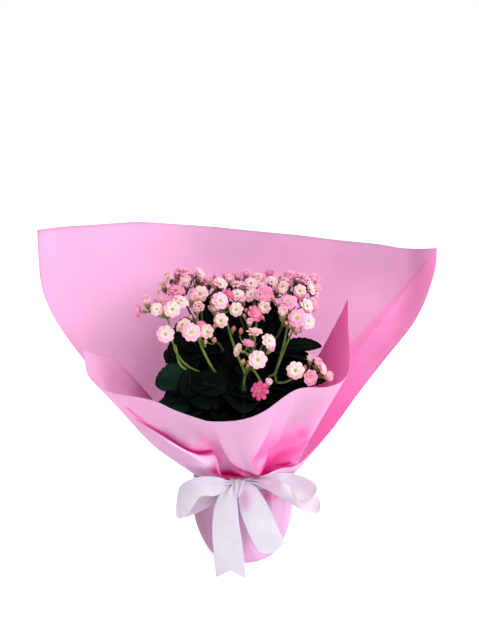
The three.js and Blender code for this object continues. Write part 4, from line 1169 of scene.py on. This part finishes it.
def all_flowers():
    """The flowers and buds in view, each given to the nearest head, and behind them the seeded ones."""
    places = flower_places()
    hubs = {(place["spray"], place["head"]): place["hub"] for place in places}
    draw = draws(SEED)
    found = flowers_in_view(draw)
    for one in found:
        base = one["at"] - FLOWER_DEPTH * one["away"]
        one["home"] = min(hubs, key=lambda key: np.linalg.norm(hubs[key] - base))
    for place in places:
        at = place["at"]
        if at[1] < BEHIND["from"] or any(in_the_way(one, at) for one in found):
            continue
        kind = "bud" if not place["open"] else "cupped" if draw() < CUPPED_SHARE else "open"
        found.append({"at": at, "away": unit(at - place["hub"]), "width": place["radius"] * FLOWER_SPREAD,
                      "kind": kind, "blush": floret_blush(draw), "turn": TURN * draw(),
                      "home": (place["spray"], place["head"])})
    return found, hubs


def shoot_foot(order):
    """Where a shoot stands on the soil."""
    turn = math.radians(SHOOTS[order][0])
    return SHOOT["ring"] * math.cos(turn), SHOOT["ring"] * math.sin(turn)


def flower_on_stalk(flower, hub, master, draw):
    """A copy of a flower in its place, and its stalk's run from the hub of its head."""
    away = flower["away"]
    size = flower["width"] * MM / master.dimensions.x
    base = flower["at"] + away * size * master.bound_box[0][2] / MM
    sideways = np.array([draw() - 0.5, draw() - 0.5, draw() - 0.5]) * STALK_SWAY
    before = base - STALK_TURN * away
    made = copy_of(master, placement(flower["at"], away, flower["turn"], size))
    mark(made, "blush", flower["blush"])
    return made, [hub, (hub + before) / 2 + sideways, before, base + STALK_OVERLAP * away]


def flower_spray(order, flowers, hubs, masters, finish):
    """One spray: its stalk and branches, a stalk for each flower, the flowers and the buds."""
    foot = np.array([*shoot_foot(order), SHOOT[SHOOTS[order][2]] - 0.5])
    fork = np.array(SPRAYS[order]["fork"], float)
    middle = np.array([foot[0], foot[1], (foot[2] + fork[2]) / 2])
    runs = [([foot, 0.25 * foot + 0.5 * middle + 0.25 * fork, fork], MAIN_STALK)]
    draw = draws(SEED + 7919 * (order + 1))
    parts = []
    for h, (*_, bend) in enumerate(SPRAYS[order]["heads"]):
        hub = hubs[order, h]
        runs.append(([fork - [0, 0, 1], np.array(bend, float), hub], BRANCH))
        for flower in flowers:
            if flower["home"] == (order, h):
                made, stalk = flower_on_stalk(flower, hub, masters[flower["kind"]], draw)
                parts.append(made)
                runs.append((stalk, FLOWER_STALK))
    return joined(f"flower_spray_petals_{order + 1}", [stems("stalks", runs, finish), *parts])


def leaf(length, width, droop):
    """A fleshy leaf with a scalloped edge, folded a little up from its midrib and drooping to its tip."""
    spans, heights = [], []
    for k in range(LEAF_ROWS + 1):
        s = k / LEAF_ROWS
        outline = math.sin(math.pi * min(0.03 + 0.97 * s**0.86, 0.995)) ** 0.55
        lobe = abs(math.sin(math.pi * LEAF_LOBES * s)) ** 0.5
        spans.append(width * max(outline * (0.88 + 0.16 * lobe * (s > 0.16)), 0.12))
        heights.append(-droop * length * s * s)
    made = blade("leaf", 6, LEAF_ROWS, length, spans, heights, LEAF_FOLD)
    thicken(made, LEAF_THICK)
    return made


def shoot_leaves(order):
    """The shoot's leaves, as [foot, bearing, rise, roll, droop, length, width, painted highlight]."""
    bearing, place, _ = SHOOTS[order]
    odd = order % 2
    rows = [{**each, "z": each["z"] + PAIR_STAGGER * odd} for each in PAIRS]
    rows += [OUTER_LEAVES[place], INNER_LEAVES[odd]]
    if place == "back":
        rows.append(MIDDLE_LEAF)
    if order in CROWNED:
        rows += CROWN_LEAVES
    rows += [leaf_row(turn, z + FULLNESS_STAGGER * odd, rise, droop, length, width)
             for z, turn, rise, droop, length, width in FULLNESS]
    return [((*shoot_foot(order), row["z"]), bearing + row["turn"], row["rise"], 0, row["droop"],
             row["length"], row["width"], LEAF_PAINTED_HIGHLIGHT) for row in rows]


def nearest_shoot(x, y):
    return min(range(len(SHOOTS)), key=lambda order: math.dist((x, y), shoot_foot(order)))


def leafy_shoot(order, masters, finish):
    """One shoot: its thick stem, the leaves set round it and its share of the leaves in view."""
    x, y = shoot_foot(order)
    low, high = SHOOT["foot"], SHOOT[SHOOTS[order][2]]
    run = ([(x, y, low), (x, y, (low + high) / 2), (x, y, high)], SHOOT["radii"])
    parts = [stems("stem", [run], finish, SHOOT["sides"])]
    leaves = shoot_leaves(order)
    leaves += [((x, y, z), *rest) for x, y, z, *rest in LEAVES_IN_VIEW if nearest_shoot(x, y) == order]
    for at, bearing, rise, roll, droop, length, width, painted_highlight in leaves:
        stand = Matrix.Translation(Vector(at) * MM)
        for angle, axis in ((bearing - 90, "Z"), (rise, "X"), (roll, "Y")):
            stand = stand @ Matrix.Rotation(math.radians(angle), 4, axis)
        size = Matrix.Diagonal((width / LEAF_WIDTH, length / LEAF_LENGTH, length / LEAF_LENGTH, 1))
        parts.append(copy_of(masters[droop], stand @ size))
        mark(parts[-1], "blush", painted_highlight)
    return joined(f"leafy_shoot_leaves_{order + 1}", parts)


class Finish:
    """A material in the making, with the kinds of node that this object's finishes use."""

    def __init__(self, name, colour, roughness, **settings):
        self.material = bpy.data.materials.new(name)
        self.material.use_nodes = True
        self.nodes = self.material.node_tree.nodes
        self.shader = self.nodes["Principled BSDF"]
        self.shader.inputs["Base Color"].default_value = (*colour, 1)
        self.shader.inputs["Roughness"].default_value = roughness
        for socket, value in settings.items():
            socket = socket.replace("_", " ").title().replace("Ior", "IOR")
            self.shader.inputs[socket].default_value = value

    def link(self, source, target):
        self.material.node_tree.links.new(source, target)

    def number(self, name):
        """A mesh's own number, as marked on its points."""
        made = self.nodes.new("ShaderNodeAttribute")
        made.attribute_name = name
        return made.outputs["Fac"]

    def axes(self, source):
        """The X, Y and Z of one kind of coordinates."""
        place = self.nodes.new("ShaderNodeTexCoord")
        split = self.nodes.new("ShaderNodeSeparateXYZ")
        self.link(place.outputs[source], split.inputs["Vector"])
        return split.outputs

    def noise(self, scale, detail, source="Object", stretch=(1, 1, 1)):
        place = self.nodes.new("ShaderNodeTexCoord")
        mapping = self.nodes.new("ShaderNodeMapping")
        mapping.inputs["Scale"].default_value = stretch
        made = self.nodes.new("ShaderNodeTexNoise")
        made.inputs["Scale"].default_value = scale
        made.inputs["Detail"].default_value = detail
        self.link(place.outputs[source], mapping.inputs["Vector"])
        self.link(mapping.outputs["Vector"], made.inputs["Vector"])
        return made.outputs["Fac"]

    def ramp(self, source, *stops):
        """A colour ramp through (position, colour) stops, where a single number is a grey."""
        made = self.nodes.new("ShaderNodeValToRGB")
        for k, (position, colour) in enumerate([stops[0], stops[-1], *stops[1:-1]]):
            stop = made.color_ramp.elements[k] if k < 2 else made.color_ramp.elements.new(position)
            stop.position = position
            stop.color = (*colour, 1) if isinstance(colour, tuple) else (colour, colour, colour, 1)
        self.link(source, made.inputs["Fac"])
        return made.outputs["Color"]

    def blend(self, share, first, second, kind="MIX"):
        """Two colours mixed; the share and either colour may be a value or a socket."""
        made = self.nodes.new("ShaderNodeMix")
        made.data_type = "RGBA"
        made.blend_type = kind
        for socket, value in zip((made.inputs[0], made.inputs[6], made.inputs[7]), (share, first, second)):
            if isinstance(value, bpy.types.NodeSocket):
                self.link(value, socket)
            else:
                socket.default_value = value if isinstance(value, float) else (*value, 1)
        return made.outputs[2]

    def times(self, first, second):
        """One colour multiplied by another."""
        return self.blend(1.0, first, second, "MULTIPLY")

    def colour(self, source):
        self.link(source, self.shader.inputs["Base Color"])

    def relief(self, *heights):
        """Relief from (height, strength, distance in mm), one over the other."""
        normal = None
        for height, strength, distance in heights:
            made = self.nodes.new("ShaderNodeBump")
            made.inputs["Strength"].default_value = strength
            made.inputs["Distance"].default_value = distance * MM
            self.link(height, made.inputs["Height"])
            if normal is not None:
                self.link(normal, made.inputs["Normal"])
            normal = made.outputs["Normal"]
        self.link(normal, self.shader.inputs["Normal"])


def paper_material():
    """Smooth, slightly clear florist's paper: lilac pink with a faint fibre, and a painted glow of deep pink
    in its folds, painted shade and painted light. The light that comes through it is pinker than the light it
    throws back."""
    paper = Finish("pink_paper", (0.8, 0.42, 0.66), 0.5, specular_ior_level=0.07)
    blush = paper.number("blush")
    mottle_and_painted_light = paper.ramp(paper.noise(14, 3), (0.3, 0.94), (0.7, 1.0))
    # Painted shade darkens the mottled colour
    mottle_and_painted_light = paper.times(mottle_and_painted_light, paper.ramp(paper.number("shade"), (0.0, 1.0), (1.0, (0.42, 0.3, 0.34))))
    # A painted glow of deeper pink, where the folds light each other
    front = paper.ramp(blush, (0.0, (0.77, 0.49, 0.715)), (0.3, (0.93, 0.37, 0.7)), (0.6, (1.0, 0.19, 0.54)),
                       (0.8, (1.0, 0.07, 0.42)), (1.0, (0.92, 0.015, 0.3)))
    behind = paper.ramp(blush, (0.0, (0.93, 0.58, 0.77)), (0.5, (1.0, 0.25, 0.6)), (1.0, (0.95, 0.04, 0.36)))
    # Painted light lifts the colour towards pale pink and lets less light through
    firm = paper.number("firm")
    front = paper.blend(paper.ramp(firm, (0.0, 0.0), (1.0, 0.75)), front, (1.0, 0.68, 0.98))
    paper.colour(paper.times(front, mottle_and_painted_light))
    paper.relief((paper.noise(900, 3), 0.12, 0.1), (paper.noise(22, 2), 0.25, 1.2))
    through = paper.nodes.new("ShaderNodeBsdfTranslucent")
    paper.link(paper.times(behind, mottle_and_painted_light), through.inputs["Color"])
    both = paper.nodes.new("ShaderNodeMixShader")
    paper.link(paper.ramp(firm, (0.0, 0.5), (1.0, 0.12)), both.inputs["Fac"])
    paper.link(paper.shader.outputs["BSDF"], both.inputs[1])
    paper.link(through.outputs["BSDF"], both.inputs[2])
    paper.link(both.outputs["Shader"], paper.nodes["Material Output"].inputs["Surface"])
    return paper.material


def ribbon_material():
    """Thin white satin, a little sheer, with painted pink light from the paper behind it, painted light and
    painted shade, and a fine weave along its length.
    """
    satin = Finish("white_satin", (0.6, 0.58, 0.65), 0.36, alpha=0.92, specular_ior_level=0.5,
                   sheen_weight=0.1, anisotropic=0.4)
    mottle_and_painted_light = satin.ramp(satin.noise(60, 2), (0.3, (0.465, 0.43, 0.505)), (0.75, (0.52, 0.485, 0.56)))
    # Painted light lifts the satin towards white, and painted shade darkens it
    mottle_and_painted_light = satin.blend(satin.number("firm"), mottle_and_painted_light, (0.85, 0.84, 0.88))
    mottle_and_painted_light = satin.times(mottle_and_painted_light, satin.ramp(satin.number("shade"), (0.0, 1.0), (1.0, (0.5, 0.5, 0.52))))
    # Painted pink light from the paper behind
    tint = satin.ramp(satin.number("blush"), (0.0, 1.0), (0.6, (1.0, 0.68, 0.82)), (1.0, (0.82, 0.52, 0.68)))
    satin.colour(satin.times(mottle_and_painted_light, tint))
    satin.relief((satin.noise(260, 2, "UV", (8, 0.4, 1)), 0.12, 0.05), (satin.noise(70, 2), 0.2, 0.5))
    return satin.material


def petal_material():
    """Petals: cream or pale pink with pinker rims, by each flower's blush."""
    petals = Finish("petals", (0.95, 0.8, 0.8), 0.5, specular_ior_level=0.25)
    along = petals.axes("UV")["Y"]
    blush = petals.number("blush")
    body = petals.ramp(blush, (0.0, (0.9, 0.68, 0.62)), (0.3, (0.9, 0.56, 0.6)), (0.6, (0.87, 0.4, 0.57)),
                       (0.8, (0.83, 0.25, 0.44)), (1.0, (0.64, 0.08, 0.22)))
    rim = petals.ramp(blush, (0.0, (0.88, 0.5, 0.54)), (0.3, (0.88, 0.4, 0.52)), (0.6, (0.84, 0.28, 0.48)),
                      (1.0, (0.6, 0.05, 0.2)))
    colour = petals.blend(petals.ramp(along, (0.45, 0.0), (1.0, 0.85)), body, rim)
    colour = petals.blend(petals.ramp(along, (0.02, 0.75), (0.3, 0.0)), colour, (0.62, 0.66, 0.22))
    streaks = petals.noise(9, 3, "UV", (6, 0.6, 1))
    petals.colour(petals.times(colour, petals.ramp(streaks, (0.35, 0.9), (0.65, 1.0))))
    petals.relief((streaks, 0.3, 0.15))
    return petals.material


def green_material(name, low, high, roughness):
    """Stalks, tubes and calyxes: pale green going to a yellower or redder green, with painted shade towards
    the back.
    """
    green = Finish(name, low, roughness, specular_ior_level=0.45)
    # Painted shade: darker the further back
    depth = green.nodes.new("ShaderNodeMapRange")
    depth.inputs["From Min"].default_value = DARK_FROM
    depth.inputs["From Max"].default_value = LIGHT_FROM
    green.link(green.axes("Object")["Y"], depth.inputs["Value"])
    shade = green.ramp(depth.outputs["Result"], (0.0, 0.3), (1.0, 1.0))
    green.colour(green.times(green.ramp(green.noise(130, 3), (0.35, low), (0.7, high)), shade))
    green.relief((green.noise(600, 2), 0.2, 0.1))
    return green.material


def bud_material():
    bud = Finish("bud_petals", (0.75, 0.3, 0.28), 0.45)
    tint = bud.ramp(bud.number("blush"), (0.3, (0.7, 0.45, 0.22)), (0.6, (0.58, 0.22, 0.17)),
                    (1.0, (0.5, 0.11, 0.12)))
    bud.colour(bud.times(tint, bud.ramp(bud.noise(240, 3), (0.3, 0.85), (0.7, 1.0))))
    bud.relief((bud.noise(400, 2), 0.2, 0.15))
    return bud.material


def leaf_material():
    """Thick glossy leaves: very dark green and mottled, paler along the midrib, with a painted teal highlight
    on the leaves that catch the light.
    """
    leaves = Finish("leaves", (0.004, 0.014, 0.009), 0.42, specular_ior_level=0.03)
    midrib = leaves.nodes.new("ShaderNodeMath")
    midrib.operation = "PINGPONG"
    midrib.inputs[1].default_value = 0.5
    leaves.link(leaves.axes("UV")["X"], midrib.inputs[0])
    rib = leaves.ramp(midrib.outputs["Value"], (0.46, 0.0), (0.5, 1.0))
    mottle = leaves.noise(55, 4)
    body = leaves.ramp(mottle, (0.35, (0.0001, 0.0004, 0.0002)), (0.75, (0.001, 0.003, 0.002)))
    # A painted highlight: a paler teal on the leaves that catch the light
    painted_highlight = leaves.ramp(mottle, (0.35, (0.004, 0.016, 0.01)), (0.75, (0.016, 0.045, 0.03)))
    body = leaves.blend(leaves.number("blush"), body, painted_highlight)
    leaves.colour(leaves.blend(rib, body, (0.006, 0.018, 0.01)))
    leaves.relief((rib, 0.4, 0.5), (leaves.noise(170, 3), 0.25, 0.5))
    return leaves.material


def soil_material():
    soil = Finish("potting_soil", (0.03, 0.02, 0.014), 0.95)
    crumbs = soil.noise(260, 6)
    soil.colour(soil.ramp(crumbs, (0.35, (0.008, 0.005, 0.004)), (0.7, (0.07, 0.045, 0.03))))
    soil.relief((crumbs, 1.0, 2.5))
    return soil.material


def pot_material():
    pot = Finish("moulded_plastic", (0.25, 0.08, 0.04), 0.5)
    pot.colour(pot.ramp(pot.noise(30, 3), (0.3, (0.21, 0.065, 0.032)), (0.7, (0.27, 0.09, 0.045))))
    pot.relief((pot.noise(1200, 2), 0.15, 0.1))
    return pot.material


def floor_and_surround():
    """A wide pale floor and a white surround."""
    deselect()
    bpy.ops.mesh.primitive_circle_add(vertices=96, radius=FLOOR_RADIUS, fill_type="NGON")
    floor = bpy.context.object
    floor.name = "studio_floor"
    dress(floor, Finish("floor_white", (1.0, 1.0, 1.0), 1.0, specular_ior_level=0.0,
                        emission_color=(1, 1, 1, 1), emission_strength=FLOOR_GLOW).material)
    world = bpy.data.worlds.new("surround")
    world.use_nodes = True
    sky = world.node_tree.nodes["Background"]
    sky.inputs["Color"].default_value = (1, 1, 1, 1)
    sky.inputs["Strength"].default_value = SURROUND
    bpy.context.scene.world = world


def lamps():
    for name, place, size, power in LAMPS:
        light = bpy.data.lights.new(name, "AREA")
        light.size = size
        light.energy = power
        lamp = add_object(name, light)
        lamp.location = place
        lamp.rotation_euler = (Vector(LAMPS_AIM) - Vector(place)).to_track_quat("-Z", "Y").to_euler()


def photo_camera():
    """The photograph's camera."""
    lens = bpy.data.cameras.new("camera")
    lens.sensor_fit = "VERTICAL"
    lens.sensor_height = lens.sensor_width = SENSOR
    lens.lens = SENSOR * FOCAL_PIXELS / PHOTO_HEIGHT
    lens.clip_start = 0.01
    camera = add_object("camera", lens)
    camera.location = Vector(CAMERA_AT) * MM
    camera.rotation_euler = (math.radians(90 - CAMERA_TILT), 0, 0)
    bpy.context.scene.camera = camera
    bpy.context.scene.view_settings.view_transform = "Standard"


def settle_in(piece, node):
    """A finished piece rides on the body and stands for its node."""
    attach(piece, BODY)
    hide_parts(node)


floor_and_surround()
lamps()
photo_camera()

paper = paper_material()
back = dress(back_paper(), paper)
front = dress(front_paper(), paper)
settle_in(back, "wrap_back_sheet")
settle_in(front, "wrap_front_sheet")

satin = ribbon_material()
bow = [
    (ribbon_band(), BAND_FLAT),
    (ribbon_knot(), KNOT_FLAT),
    (ribbon_run("ribbon_left_loop", LEFT_LOOP, STRAIGHT, LEFT_LOOP_INSIDE, LEFT_LOOP_PINK_LIGHT), LOOP_FLAT),
    (ribbon_run("ribbon_right_loop", RIGHT_LOOP, STRAIGHT, RIGHT_LOOP_PINK_LIGHT, RIGHT_LOOP_INSIDE,
                RIGHT_LOOP_LIGHT, RIGHT_LOOP_SHADE), LOOP_FLAT),
    (ribbon_run("ribbon_left_tail", LEFT_TAIL, V_CUT, LEFT_TAIL_PINK_LIGHT, LEFT_TAIL_PINK_LIGHT), LEFT_TAIL_FLAT),
    (ribbon_run("ribbon_right_tail", RIGHT_TAIL, ROUND_CUT, RIGHT_TAIL_PINK_LIGHT, RIGHT_TAIL_PINK_LIGHT),
     RIGHT_TAIL_FLAT),
]
for piece, flat in bow:
    dress(piece, satin)
    settle_in(piece, "ribbon_bow")

leaf_finish = leaf_material()
stem_finish = green_material("stems", (0.02, 0.05, 0.01), (0.06, 0.1, 0.02), 0.5)
leaf_masters = {droop: dress(leaf(LEAF_LENGTH, LEAF_WIDTH, droop), leaf_finish) for droop in LEAF_DROOPS}
for order in range(len(SHOOTS)):
    settle_in(leafy_shoot(order, leaf_masters, stem_finish), f"leafy_shoot_{order + 1}")

petal_finish = petal_material()
stalk_finish = green_material("stalks", (0.05, 0.11, 0.014), (0.15, 0.22, 0.03), 0.45)
calyx_finish = green_material("calyxes", (0.12, 0.15, 0.025), (0.3, 0.2, 0.06), 0.5)
centre_finish = green_material("flower_centres", (0.2, 0.27, 0.02), (0.4, 0.4, 0.04), 0.5)
masters = {kind: floret(kind, petal_finish, calyx_finish, centre_finish) for kind in RINGS}
masters["bud"] = closed_bud(bud_material(), calyx_finish)
bpy.context.view_layer.update()
flowers, hubs = all_flowers()
for order in range(len(SPRAYS)):
    spray = flower_spray(order, flowers, hubs, masters, stalk_finish)
    settle_in(spray, f"flower_spray_{order + 1}")
for master in [*masters.values(), *leaf_masters.values()]:
    bpy.data.objects.remove(master)

dress(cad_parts["nursery_pot"], pot_material())
dress(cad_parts["soil"], soil_material())
